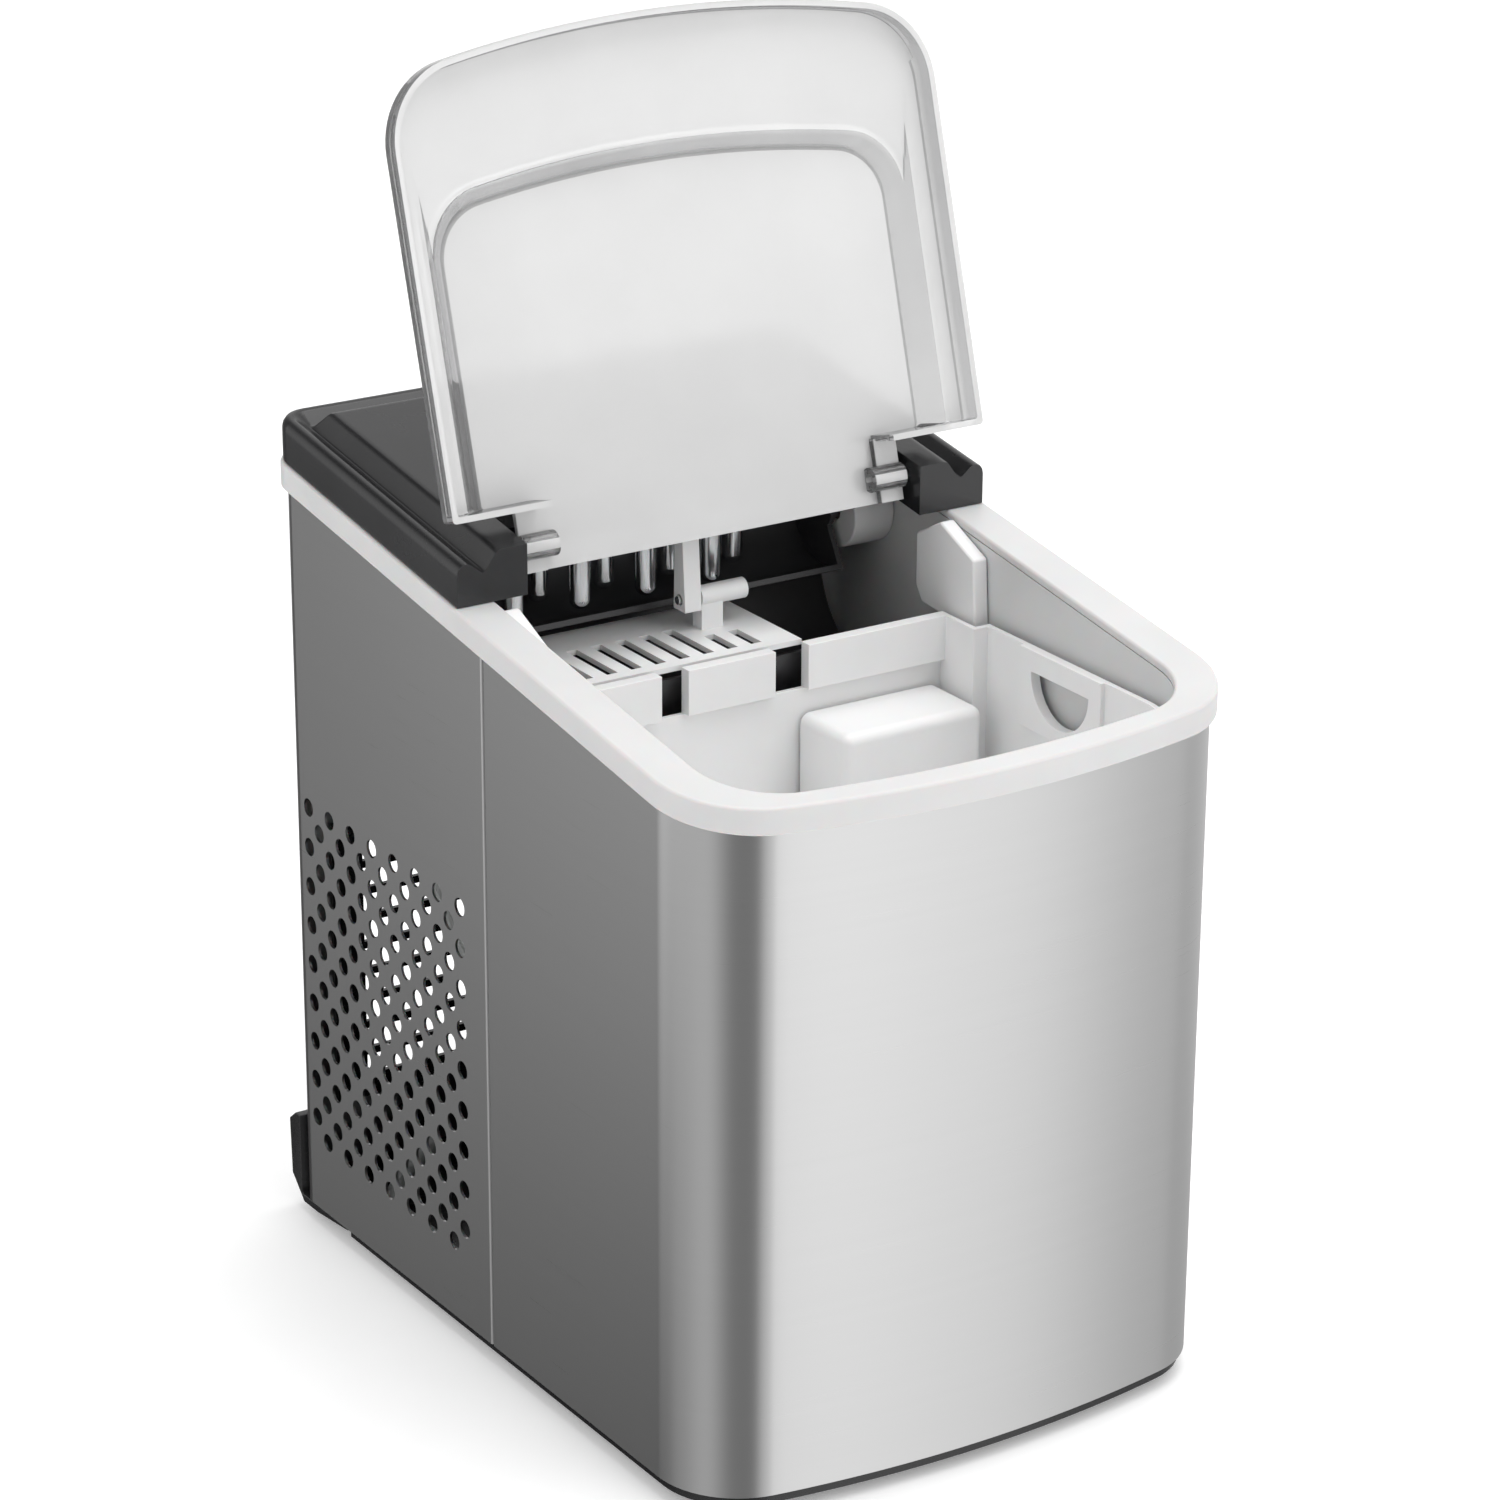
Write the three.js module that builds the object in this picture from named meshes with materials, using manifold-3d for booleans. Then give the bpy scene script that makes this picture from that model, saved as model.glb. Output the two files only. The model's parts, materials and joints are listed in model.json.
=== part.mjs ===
// A compact counter-top ice maker: steel body, white collar, tinted rear cover and a clear lid.
// Millimetres, +Z up, X to the right, the front towards -Y. The origin is the middle of the footprint, on the floor.
import * as THREE from "three";
import { mergeVertices } from "three/addons/utils/BufferGeometryUtils.js";
import Module from "manifold-3d";

const wasm = await Module();
wasm.setup();

// ---------------------------------------------------------------- driving dimensions
const bodyWidth = 217.5;
const bodyDepth = 298;
const bodyBottom = 8;
const sheet = 1;
const frontBow = 13;
const frontRadius = 32.2;
const rearRadius = 10;
const seamY = 2.5;
const gap = 0.3; // between pieces that touch
const running = 0.6; // between pieces that move past each other

const collarTop = 281.4; // height of the collar's top at the middle of the depth
const slope = 0.1532; // rise of the collar's top for each millimetre towards the back
const collarOverhang = 2.46;
const lipHeight = 9.4;
const flange = 3;

const mouthHalfWidth = 94.6;
const mouthFront = -142;
const mouthRear = 92;
const mouthRadius = 28;
const mouthBow = 9;
const mouthRearRadius = 8;
const linerWall = 2;
const tankFloor = 70;
const ledgeHeight = 190;
const ledgeWidth = 8;
const chamberFront = 8.9;
const chamberFloor = 209.2;

const basketRim = 250;
const basketGap = 2.4;
const basketWall = 2.2;
const basketRear = 6.5;
const basketLip = 17; // depth of the thickened lip that the ice slides over
const cornerNotch = 8.6; // width of the cut-away rear corners
const cornerNotchY = -14;
const gripY = -62;
const gripRadius = 17;

const trayRadius = 22;
const trayWall = 2;
const trayLeftRoom = 10.6; // from the mouth's wall to the tray, for its bearing
const trayRightRoom = 20.6; // the same on the right, for its motor
const trayRearRoom = 6;
const trayLift = 2; // above the shovel's plate
const trayTip = 60; // degrees that the tray is tipped back from level
const stubRadius = 3;

const fingerRadius = 4;
const fingerLength = 22;
const fingerLeftRoom = 19.4; // from the tray's left end to the first finger's middle
const fingerRightRoom = 55.8; // from the first row's last finger to the tray's right end
const fingerRows = 14; // distance between the two rows
const evaporatorBlock = 6;

const shovelTop = 250;
const shovelPlate = 2;
const shovelLeftRoom = 7.6; // from the mouth's wall to the shovel
const shovelRight = 26;
const shovelFront = 8.5;
const shovelRear = 60;
const shovelPivotRoom = 4; // from the pivot to the tray's front
const shovelPivotZ = 262;
const slotPitch = 10;
const slotWidth = 3;

const coverHalfWidth = 109.9;
const coverRear = 151.5;
const coverFront = 42;
const armFront = 16.5;
const armInner = 82;
const rimHeight = 15.5; // cover edge above the collar
const grooveHeight = 11.5;
const islandHeight = 18.7;
const grooveInset = 10.1;
const islandInset = 16.1;
const coverWall = 2.5;
const serviceFront = 106;
const serviceRear = 138;
const serviceHalfWidth = 86;

const hingeY = 25.4;
const hingeZ = 297.8;
const lidOpen = 114.7; // degrees from closed to the open stop, which is the rest pose
const lidHalfWidth = 110.3;
const lidTip = 176.4; // from the hinge axis to the front edge
const lidHeel = 13.4; // from the hinge axis to the rear edge of the side parts
const lidRim = -12.06; // height of the rim's underside above the axis, lid closed
const lidWall = 2.2;
const lidSkirt = 8; // height of the upright side wall
const lidShoulder = 12; // height of the slope's upper end above the rim
const lidWindow = 17.1; // height of the window above the rim
const tongueHalfWidth = 79.5;
const tongueFold = 72;
const tongueEnd = -9;
const pinRadius = 2;

const ventDiameter = 7;
const ventPitchY = 8;
const ventPitchZ = 15.7;
const ventColumns = 15;
const ventRows = 9;
const ventFrontY = 21;
const ventTopZ = 172;

const baseBottom = 4;
const baseFloor = 9.7;
const footRadius = 9;
const panelY = 79; // middle of the control panel
const panelHalfWidth = 64;
const panelDepth = 38;
const panelProud = 0.6;
const buttonX = 12;
const buttonRadius = 6;
const buttonProud = 1.2;

const windowHalfWidth = 88; // opening in the back
const windowBottom = 48;
const windowTop = 152;
const fanY = 89;
const fanZ = 95;
const fanRadius = 36;

// places that follow from them
const cornerNotchX = mouthHalfWidth - cornerNotch;
const trayAxisY = mouthRear - trayRearRoom - trayRadius;
const trayAxisZ = shovelTop + trayLift + trayRadius;
const trayLeft = trayLeftRoom - mouthHalfWidth;
const trayRight = mouthHalfWidth - trayRightRoom;
const fingerFirstX = trayLeft + fingerLeftRoom;
const fingerPitch = (trayRight - fingerRightRoom - fingerFirstX) / 3;
const fingerRowShift = (fingerPitch * 2) / 3;
const shovelLeft = shovelLeftRoom - mouthHalfWidth;
const shovelPivotY = trayAxisY - trayRadius - shovelPivotRoom;

// ---------------------------------------------------------------- materials
const finish = (color, roughness, metalness = 0, opacity = 1) =>
  new THREE.MeshStandardMaterial({ color, roughness, metalness, opacity, transparent: opacity < 1 });
const steel = finish(0xb4b6b8, 0.32, 1);
const milky = finish(0xf0f1f0, 0.45);
const white = finish(0xe8e8e6, 0.5);
const dark = finish(0x2c2d2f, 0.4);
const grey = finish(0x4a4b4d, 0.45);
const clear = finish(0xe4e8ea, 0.08, 0, 0.35);
const rubber = finish(0x161616, 0.85);
const copper = finish(0xb87351, 0.35, 1);
const nickel = finish(0xc9cbcc, 0.25, 1);
const aluminium = finish(0xc4c6c8, 0.4, 1);
const enamel = finish(0x141415, 0.35);
const board = finish(0x1f5b3a, 0.6);
const hose = finish(0xd9dcda, 0.4);
const lens = finish(0x9fd2b0, 0.2);

// ---------------------------------------------------------------- solids
const root = new THREE.Group();

function solid(geometry) {
  const bare = geometry.clone();
  bare.deleteAttribute("normal");
  bare.deleteAttribute("uv");
  const merged = mergeVertices(bare, 1e-4);
  const vertProperties = merged.attributes.position.array;
  const triVerts = new Uint32Array(merged.index.array);
  return new wasm.Manifold(new wasm.Mesh({ numProp: 3, vertProperties, triVerts }));
}

function add(name, shape, material) {
  const { vertProperties, triVerts } = shape.getMesh();
  const geometry = new THREE.BufferGeometry();
  geometry.setAttribute("position", new THREE.BufferAttribute(vertProperties, 3));
  geometry.setIndex(new THREE.BufferAttribute(triVerts, 1));
  const mesh = new THREE.Mesh(geometry, material);
  mesh.name = name;
  root.add(mesh);
}

const join = (...shapes) => shapes.reduce((a, b) => a.add(b));
const cut = (shape, ...tools) => tools.reduce((a, b) => a.subtract(b), shape);

function box(x0, x1, y0, y1, z0, z1) {
  const geometry = new THREE.BoxGeometry(x1 - x0, y1 - y0, z1 - z0);
  return solid(geometry.translate((x0 + x1) / 2, (y0 + y1) / 2, (z0 + z1) / 2));
}

// A shape drawn in X and Y, raised from z0 to z1.
function upright(shape, z0, z1, curveSegments = 4) {
  const depth = z1 - z0;
  const geometry = new THREE.ExtrudeGeometry(shape, { depth, bevelEnabled: false, curveSegments });
  return solid(geometry.translate(0, 0, z0));
}

// A shape drawn in Y and Z, carried along X from x0 to x1.
function acrossX(shape, x0, x1, curveSegments = 4) {
  const geometry = new THREE.ExtrudeGeometry(shape, { depth: x1 - x0, bevelEnabled: false, curveSegments });
  const turn = new THREE.Matrix4().set(0, 0, 1, x0, 1, 0, 0, 0, 0, 1, 0, 0, 0, 0, 0, 1);
  return solid(geometry.applyMatrix4(turn));
}

// A round bar from one point to another.
function rod(radius, from, to, sides = 10) {
  const a = new THREE.Vector3(...from);
  const b = new THREE.Vector3(...to);
  const way = b.clone().sub(a);
  const geometry = new THREE.CylinderGeometry(radius, radius, way.length(), sides);
  const turn = new THREE.Quaternion().setFromUnitVectors(new THREE.Vector3(0, 1, 0), way.normalize());
  const middle = a.add(b).multiplyScalar(0.5);
  return solid(geometry.applyQuaternion(turn).translate(middle.x, middle.y, middle.z));
}

// A round tube along a smooth curve through the points.
function tube(radius, points, steps) {
  const section = new THREE.Shape().absarc(0, 0, radius, 0, 2 * Math.PI);
  const extrudePath = new THREE.CatmullRomCurve3(points.map((p) => new THREE.Vector3(...p)), false, "centripetal");
  return solid(new THREE.ExtrudeGeometry(section, { steps, extrudePath, curveSegments: 3, bevelEnabled: false }));
}

const polygon = (points) => new THREE.Shape(points.map(([x, y]) => new THREE.Vector2(x, y)));
const collarAt = (y) => collarTop + slope * y;

// The space between two planes that keep the collar's slope.
function layer(low, high) {
  const far = 2 * bodyDepth;
  const corners = [
    [-far, collarAt(-far) + low],
    [far, collarAt(far) + low],
    [far, collarAt(far) + high],
    [-far, collarAt(-far) + high],
  ];
  return acrossX(polygon(corners), -far, far);
}
const deep = -collarTop - 2 * bodyDepth;

// A plan outline with a bowed front and rounded corners, drawn inset millimetres inside itself.
function bowed({ halfWidth, front, rear, bow, radius, backRadius }, inset = 0) {
  const bowRadius = (halfWidth ** 2 + bow ** 2) / (2 * bow);
  const bowY = front + bowRadius;
  const side = halfWidth - inset;
  const back = rear - inset;
  const round = Math.max(radius - inset, 1);
  const backRound = Math.max(backRadius - inset, 1);
  const roundY = bowY - Math.sqrt((bowRadius - inset - round) ** 2 - (side - round) ** 2);
  const left = Math.atan2(roundY - bowY, round - side) + 2 * Math.PI;
  const right = Math.atan2(roundY - bowY, side - round) + 2 * Math.PI;
  const shape = new THREE.Shape();
  shape.absarc(side - backRound, back - backRound, backRound, 0, Math.PI / 2);
  shape.absarc(backRound - side, back - backRound, backRound, Math.PI / 2, Math.PI);
  shape.absarc(round - side, roundY, round, Math.PI, left);
  shape.absarc(0, bowY, bowRadius - inset, left, right);
  shape.absarc(side - round, roundY, round, right, 2 * Math.PI);
  return shape;
}

// A solid skinned over plan outlines, each with its own height function.
function loft(rings, segments = 4) {
  const rows = rings.map(([shape, height]) =>
    shape
      .getPoints(segments)
      .filter((p, i, all) => p.distanceTo(all[(i + 1) % all.length]) > 1e-3)
      .map((p) => [p.x, p.y, height(p.y)]),
  );
  const count = rows[0].length;
  const points = rows.flat(2);
  const faces = [];
  for (let r = 0; r + 1 < rows.length; r++)
    for (let i = 0; i < count; i++) {
      const a = r * count + i;
      const b = r * count + ((i + 1) % count);
      faces.push(a, b, b + count, a, b + count, a + count);
    }
  const flat = (row) => row.map(([x, y]) => new THREE.Vector2(x, y));
  for (const [a, b, c] of THREE.ShapeUtils.triangulateShape(flat(rows[0]), [])) faces.push(c, b, a);
  const last = (rows.length - 1) * count;
  for (const [a, b, c] of THREE.ShapeUtils.triangulateShape(flat(rows.at(-1)), []))
    faces.push(last + a, last + b, last + c);
  const geometry = new THREE.BufferGeometry();
  geometry.setAttribute("position", new THREE.Float32BufferAttribute(points, 3));
  geometry.setIndex(faces);
  return solid(geometry);
}

// ---------------------------------------------------------------- body shells
const half = bodyWidth / 2;
const bodyFront = -bodyDepth / 2;
const bodyRear = bodyDepth / 2;
const body = {
  halfWidth: half, front: bodyFront, rear: bodyRear, bow: frontBow, radius: frontRadius, backRadius: rearRadius,
};
const far = 2 * bodyDepth;
const wrap = cut(upright(bowed(body), bodyBottom, far), upright(bowed(body, sheet), 0, far + 1)).intersect(
  layer(deep, -flange - gap),
);
const seam = gap;
add("front_shell", wrap.intersect(box(-far, far, -far, seamY - seam, 0, far)), steel);

const vent = ventDiameter / 2;
const diamond = polygon([[-vent, 0], [0, -vent], [vent, 0], [0, vent]]);
const ventCut = acrossX(diamond, -far, far);
const vents = [];
for (let column = 0; column < ventColumns; column++)
  for (let row = 0; row < ventRows; row++) {
    const z = ventTopZ - ventPitchZ * (row + (column % 2) / 2);
    vents.push(ventCut.translate([0, ventFrontY + ventPitchY * column, z]));
  }
const backWindow = box(-windowHalfWidth, windowHalfWidth, bodyRear - 2 * sheet, far, windowBottom, windowTop);
const inletX = 62;
const inletZ = 30;
const inletCut = box(inletX - 15, inletX + 15, bodyRear - 2 * sheet, far, inletZ - 11, inletZ + 11);
const drainX = -62;
const drainZ = 28;
const drainRadius = 7;
const drainCut = rod(drainRadius + gap, [drainX, bodyRear - 5, drainZ], [drainX, far, drainZ], 16);
const rearWrap = wrap.intersect(box(-far, far, seamY + seam, far, 0, far));
add("rear_shell", cut(rearWrap, ...vents, backWindow, inletCut, drainCut), steel);

// ---------------------------------------------------------------- base, feet and bumpers
const basePlate = upright(bowed(body, 2), baseBottom, baseFloor);
const baseRing = cut(
  upright(bowed(body, sheet + gap), bodyBottom - gap, bodyBottom + 8),
  upright(bowed(body, sheet + gap + 2.5), 0, far),
);
const bumperInner = 82;
const bumperOuter = 108;
const bumperFront = 113;
const bumperRear = bodyRear + 9;
const bumperTop = 40;
const bumperRoom = [-1, 1].map((side) =>
  box(
    Math.min(side * bumperInner, side * half) - gap, Math.max(side * bumperInner, side * half) + gap,
    bumperFront - gap, far, 0, bodyBottom - gap,
  ),
);
const drainHole = rod(3.6, [-40, -20, 0], [-40, -20, 20]);
add("base_pan", cut(join(basePlate, baseRing), ...bumperRoom, drainHole), dark);
for (const [side, x] of [["left", -1], ["right", 1]]) {
  const low = baseBottom + 0.2;
  const profile = polygon([
    [bumperFront, bodyBottom - 1.5], [bumperFront + 24, low], [bodyRear - 1, low], [bumperRear - 1, low + 9],
    [bumperRear, bumperTop - 4], [bumperRear - 5, bumperTop], [bodyRear + gap, bumperTop],
    [bodyRear + gap, bodyBottom - 2 * gap], [bumperFront, bodyBottom - 2 * gap],
  ]);
  const edges = [x * bumperInner, x * bumperOuter].sort((a, b) => a - b);
  add("rear_bumper_" + side, acrossX(profile, ...edges), dark);
  for (const [end, y] of [["front", -104], ["rear", 100]]) {
    const at = [x * (half - 24), y];
    add(`foot_${end}_${side}`, rod(footRadius, [...at, 0], [...at, baseBottom - gap]), rubber);
  }
}

// ---------------------------------------------------------------- collar
const mouth = {
  halfWidth: mouthHalfWidth, front: mouthFront, rear: mouthRear, bow: mouthBow, radius: mouthRadius,
  backRadius: mouthRearRadius,
};
const collarBlock = upright(bowed(body, -collarOverhang), 0, far).intersect(layer(-lipHeight, 0));
const collarRoom = upright(bowed(body, -gap), 0, far).intersect(layer(-lipHeight - 1, -flange));
const service = box(-serviceHalfWidth, serviceHalfWidth, serviceFront, serviceRear, 0, far);
add("collar", cut(collarBlock, collarRoom, upright(bowed(mouth), 0, far), service), milky);

// ---------------------------------------------------------------- inner tub with the water tank
function tubRoom(grow, low) {
  const upper = upright(bowed(mouth, -grow), ledgeHeight - gap - low, far);
  const lower = upright(bowed(mouth, ledgeWidth - grow), tankFloor - low, far);
  const frontPart = box(-far, far, -far, chamberFront + grow, 0, far);
  const tankPart = box(-far, far, -far, chamberFront - ledgeWidth + grow, 0, far);
  const chamber = box(-far, far, -far, far, chamberFloor - low, far);
  return join(upper.intersect(frontPart), lower.intersect(tankPart), upper.intersect(chamber));
}
const underFlange = layer(deep, -flange - gap);
const spouts = [[-66, -16], [-40, -20]];
const spoutRods = spouts.map(([x, y]) => rod(5, [x, y, tankFloor - 12], [x, y, tankFloor - 1]));
const spoutBores = spouts.map(([x, y]) => rod(3.4, [x, y, tankFloor - 13], [x, y, tankFloor + 1]));
const tub = cut(tubRoom(linerWall, linerWall).intersect(underFlange), tubRoom(0, 0));
add("inner_tub", cut(join(tub, ...spoutRods), ...spoutBores), milky);

// ---------------------------------------------------------------- ice basket
const basketPlan = { ...mouth, rear: basketRear + basketGap };
const notchFor = (wall) =>
  [-1, 1].map((side) => {
    const inner = cornerNotchX - wall;
    const edges = [side * inner, side * far].sort((a, b) => a - b);
    return box(...edges, cornerNotchY - wall, far, 0, far);
  });
const basketOuter = cut(upright(bowed(basketPlan, basketGap), ledgeHeight, basketRim), ...notchFor(0));
const basketInner = cut(
  upright(bowed(basketPlan, basketGap + basketWall), ledgeHeight + basketWall, far),
  ...notchFor(basketWall),
);
const lipBar = box(1 - cornerNotchX, cornerNotchX - 1, basketRear - 5, basketRear - 1, basketRim - basketLip, basketRim);
const notches = [[-37, -26], [10.5, 24.5]].map(([x0, x1]) =>
  box(x0, x1, basketRear - 9, far, basketRim - basketLip, far),
);
const wallX = mouthHalfWidth - basketGap;
const gripTop = basketRim - 6;
const moon = new THREE.Shape();
moon.absarc(gripY, gripTop - 2, gripRadius, Math.PI, 2 * Math.PI);
const gripCut = acrossX(moon, -far, far);
const gripPads = [-1, 1].map((side) => {
  const edges = [side * (wallX - 4), side * (wallX - 1)].sort((a, b) => a - b);
  return box(...edges, gripY - 24, gripY + 24, basketRim - 30, basketRim);
});
const drains = [-60, -40, -20, 0, 20, 40, 60].map((x) => box(x - 1.5, x + 1.5, -105, -25, 0, far));
const step = box(30, cornerNotchX - 1, cornerNotchY - 60, cornerNotchY - 10, ledgeHeight + 1, ledgeHeight + 12);
add(
  "ice_basket",
  cut(join(cut(basketOuter, basketInner), lipBar, ...gripPads, step), ...notches, gripCut, ...drains),
  white,
);

// ---------------------------------------------------------------- drip trough under the tray
const troughY = (chamberFront + mouthRear) / 2 - 0.6;
const troughRadius = troughY - chamberFront - 0.2;
const troughZ = chamberFloor + gap + troughRadius;
const troughWall = 2;
const troughBack = troughY + troughRadius;
const troughShape = new THREE.Shape();
troughShape.moveTo(troughBack, troughZ + 28);
troughShape.lineTo(troughBack - troughWall, troughZ + 28);
troughShape.absarc(troughY, troughZ, troughRadius - troughWall, 0, Math.PI, true);
troughShape.absarc(troughY, troughZ, troughRadius, Math.PI, 2 * Math.PI);
const troughHalf = cornerNotchX + 1.5;
const shovelRoom = box(-far, far, 0, shovelFront + 3, shovelTop - shovelPlate - 3, far);
const troughDrain = box(-9, 9, troughY - 9, troughY + 9, 0, troughZ - troughRadius + 6);
add("drip_trough", cut(acrossX(troughShape, -troughHalf, troughHalf, 8), shovelRoom, troughDrain), grey);

// ---------------------------------------------------------------- evaporator and its support
const blockTop = trayAxisZ - 15 + fingerLength + evaporatorBlock;
const blockBottom = blockTop - evaporatorBlock;
const fingers = [];
for (let row = 0; row < 2; row++)
  for (let i = 0; i < 4; i++) {
    const x = fingerFirstX + fingerPitch * i + fingerRowShift * row;
    const y = trayAxisY + fingerRows * (row - 0.5);
    fingers.push(rod(fingerRadius, [x, y, blockBottom - fingerLength], [x, y, blockBottom + 1], 8));
  }
const blockLeft = fingerFirstX - 7;
const lineX = [30, 38];
const blockRight = lineX[1] + 6.6;
const block = box(blockLeft, blockRight, trayAxisY - 11, trayAxisY + 11, blockBottom, blockTop);
const fillX = trayLeft + 9;
const supportLeft = fillX + 17;
const supportLow = collarAt(serviceFront - 2) + gap;
const supportHigh = supportLow + 2;
const stems = [supportLeft + 10, 8].map((x) => box(x - 5, x + 5, trayAxisY - 4, trayAxisY + 4, blockTop - 1, supportLow - gap));
const ports = lineX.map((x) => rod(3.4, [x, trayAxisY, blockTop - 1], [x, trayAxisY, blockTop + 3]));
add("evaporator", join(block, ...fingers, ...stems, ...ports), nickel);

const hangerLeft = -7;
const hangerRight = 0;
const hangerShape = polygon([
  [shovelPivotY - 4, shovelPivotZ - 4], [shovelPivotY + 4, shovelPivotZ - 4], [shovelPivotY + 3, supportLow + 1],
  [shovelPivotY - 1, supportLow + 1],
]);
const supportPlate = box(supportLeft, 18, trayAxisY - 6, serviceFront - 2, supportLow, supportHigh);
const supportTongue = box(hangerLeft, hangerRight, shovelPivotY - 1, trayAxisY, supportLow, supportHigh);
const hangerBore = rod(pinRadius, [-20, shovelPivotY, shovelPivotZ], [20, shovelPivotY, shovelPivotZ]);
add(
  "evaporator_support",
  cut(join(supportPlate, supportTongue, acrossX(hangerShape, hangerLeft, hangerRight)), hangerBore),
  white,
);

// ---------------------------------------------------------------- tipping water tray, its bearing and motor
const radians = THREE.MathUtils.degToRad;
const arcStart = Math.PI + radians(trayTip);
const trayArc = new THREE.Shape();
trayArc.absarc(trayAxisY, trayAxisZ, trayRadius, arcStart, arcStart + Math.PI);
trayArc.absarc(trayAxisY, trayAxisZ, trayRadius - trayWall, arcStart + Math.PI, arcStart, true);
const trayCap = new THREE.Shape();
trayCap.absarc(trayAxisY, trayAxisZ, trayRadius - 0.5, arcStart, arcStart + Math.PI);
const axisAt = (x) => [x, trayAxisY, trayAxisZ];
add(
  "water_tray",
  join(
    acrossX(trayArc, trayLeft, trayRight, 8),
    acrossX(trayCap, trayLeft, trayLeft + 2, 8),
    acrossX(trayCap, trayRight - 2, trayRight, 8),
    rod(5, axisAt(trayLeft), axisAt(trayLeft + 2)),
    rod(5, axisAt(trayRight - 2), axisAt(trayRight)),
    rod(stubRadius, axisAt(trayLeft - 5), axisAt(trayLeft + 1)),
    rod(stubRadius, axisAt(trayRight - 1), axisAt(trayRight + 6)),
  ),
  grey,
);
const sideX = mouthHalfWidth - gap;
const bearingBlock = box(-sideX, trayLeft - running, trayAxisY - 8, trayAxisY + 8, trayAxisZ - 9, trayAxisZ + 8);
const bearingBore = rod(stubRadius + gap, axisAt(trayLeft - 6), axisAt(trayLeft + 1));
add("tray_bearing", cut(bearingBlock, bearingBore), white);
const motorLeft = trayRight + 3;
const motorCan = rod(14, axisAt(motorLeft), axisAt(sideX), 20);
const motorBore = rod(stubRadius + gap, axisAt(motorLeft - 1), axisAt(trayRight + 7));
add("tray_motor", cut(motorCan, motorBore), white);

// ---------------------------------------------------------------- ice shovel
const pivotAt = (x) => [x, shovelPivotY, shovelPivotZ];
const barrelLeft = hangerRight + running;
const barrelRight = 20;
const plate = box(shovelLeft, shovelRight, shovelFront, shovelRear, shovelTop - shovelPlate, shovelTop);
const longSlots = [];
for (let x = shovelRight - 36; x > shovelLeft + 6; x -= slotPitch) longSlots.push([x, 28]);
const shortSlots = [[shovelRight - 26, 16], [shovelRight - 16, 16]];
const slots = [...longSlots, ...shortSlots].map(([x, length]) =>
  box(x - slotWidth / 2, x + slotWidth / 2, shovelFront + 5, shovelFront + 5 + length, 0, far),
);
const arm = box(barrelLeft, barrelLeft + 9, shovelPivotY - 3, shovelPivotY + 3, shovelTop - 1, shovelPivotZ);
const barrel = rod(3.8, pivotAt(barrelLeft), pivotAt(barrelRight), 16);
const barrelBore = rod(pinRadius, pivotAt(barrelLeft - 1), pivotAt(barrelRight + 1));
const sideFence = box(shovelLeft, shovelLeft + 2, shovelFront, shovelRear - 14, shovelTop - 1, shovelTop + 5);
add("ice_shovel", cut(join(plate, arm, barrel, sideFence), ...slots, barrelBore), white);
add("shovel_pin", rod(pinRadius - gap, pivotAt(hangerLeft - 1), pivotAt(barrelRight + 1)), nickel);

// ---------------------------------------------------------------- full-basket sensors on both walls
const sensorShape = polygon([[27, 274], [12, 282], [-9, 273], [-11, 245], [23, 248], [27, 254]]);
add("ice_sensor_left", acrossX(sensorShape, -sideX, -cornerNotchX - 2), white);
add("ice_sensor_right", acrossX(sensorShape, cornerNotchX + 2, sideX), white);

// ---------------------------------------------------------------- rear cover with hinge arms
const coverPlan = {
  halfWidth: coverHalfWidth, front: armFront - islandInset - 30, rear: coverRear, bow: 8, radius: 2, backRadius: 12,
};
const overCollar = (height) => (y) => collarAt(y) + height;
const coverSkin = loft([
  [bowed(coverPlan), overCollar(gap)],
  [bowed(coverPlan), overCollar(rimHeight)],
  [bowed(coverPlan, grooveInset), overCollar(grooveHeight)],
  [bowed(coverPlan, islandInset), overCollar(islandHeight)],
]);
const coverRoom = join(
  upright(bowed(coverPlan, coverWall), 0, far).intersect(layer(-5, grooveHeight - coverWall)),
  upright(bowed(coverPlan, islandInset + 2), 0, far).intersect(layer(-5, islandHeight - coverWall)),
).intersect(box(-far, far, coverFront + coverWall, far, 0, far));
const betweenArms = box(-armInner, armInner, -far, coverFront, 0, far);
const frontDoor = box(-78, 78, coverFront - 1, coverFront + coverWall + 1, 0, far).intersect(layer(-5, 12.2));
const pinAt = (x) => [x, hingeY, hingeZ];
const pinEnd = 92;
const armBores = [-1, 1].map((side) => rod(pinRadius + gap, pinAt(side * 70), pinAt(side * (pinEnd + 1))));
const panelPlan = (grow) => {
  const shape = new THREE.Shape();
  const wide = panelHalfWidth + grow;
  const tall = panelDepth / 2 + grow;
  shape.absellipse(0, panelY, wide, tall, 0, 2 * Math.PI);
  return shape;
};
const panelSink = 1.2;
const panelRecess = upright(panelPlan(gap), 0, far, 12).intersect(layer(islandHeight - panelSink - gap, far));
const onPanel = (radius, x, low, high) => rod(radius, [x, panelY, low], [x, panelY, high], 16);
const panelBase = collarAt(panelY);
const buttonHoles = [-buttonX, buttonX].map((x) => onPanel(buttonRadius + gap, x, panelBase, far));
const boardTop = 14.1;
const standoffs = [[-44, 64], [-44, 94], [16, 64], [16, 94]].map(([x, y]) =>
  rod(2.5, [x, y, collarAt(y)], [x, y, far]).intersect(layer(boardTop + 2 * gap, islandHeight - 1.5)),
);
const coverShell = cut(coverSkin.intersect(box(-far, far, armFront, far, 0, far)), coverRoom, betweenArms, frontDoor);
add("rear_cover", cut(join(coverShell, ...standoffs), ...armBores, panelRecess, ...buttonHoles), dark);

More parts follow.
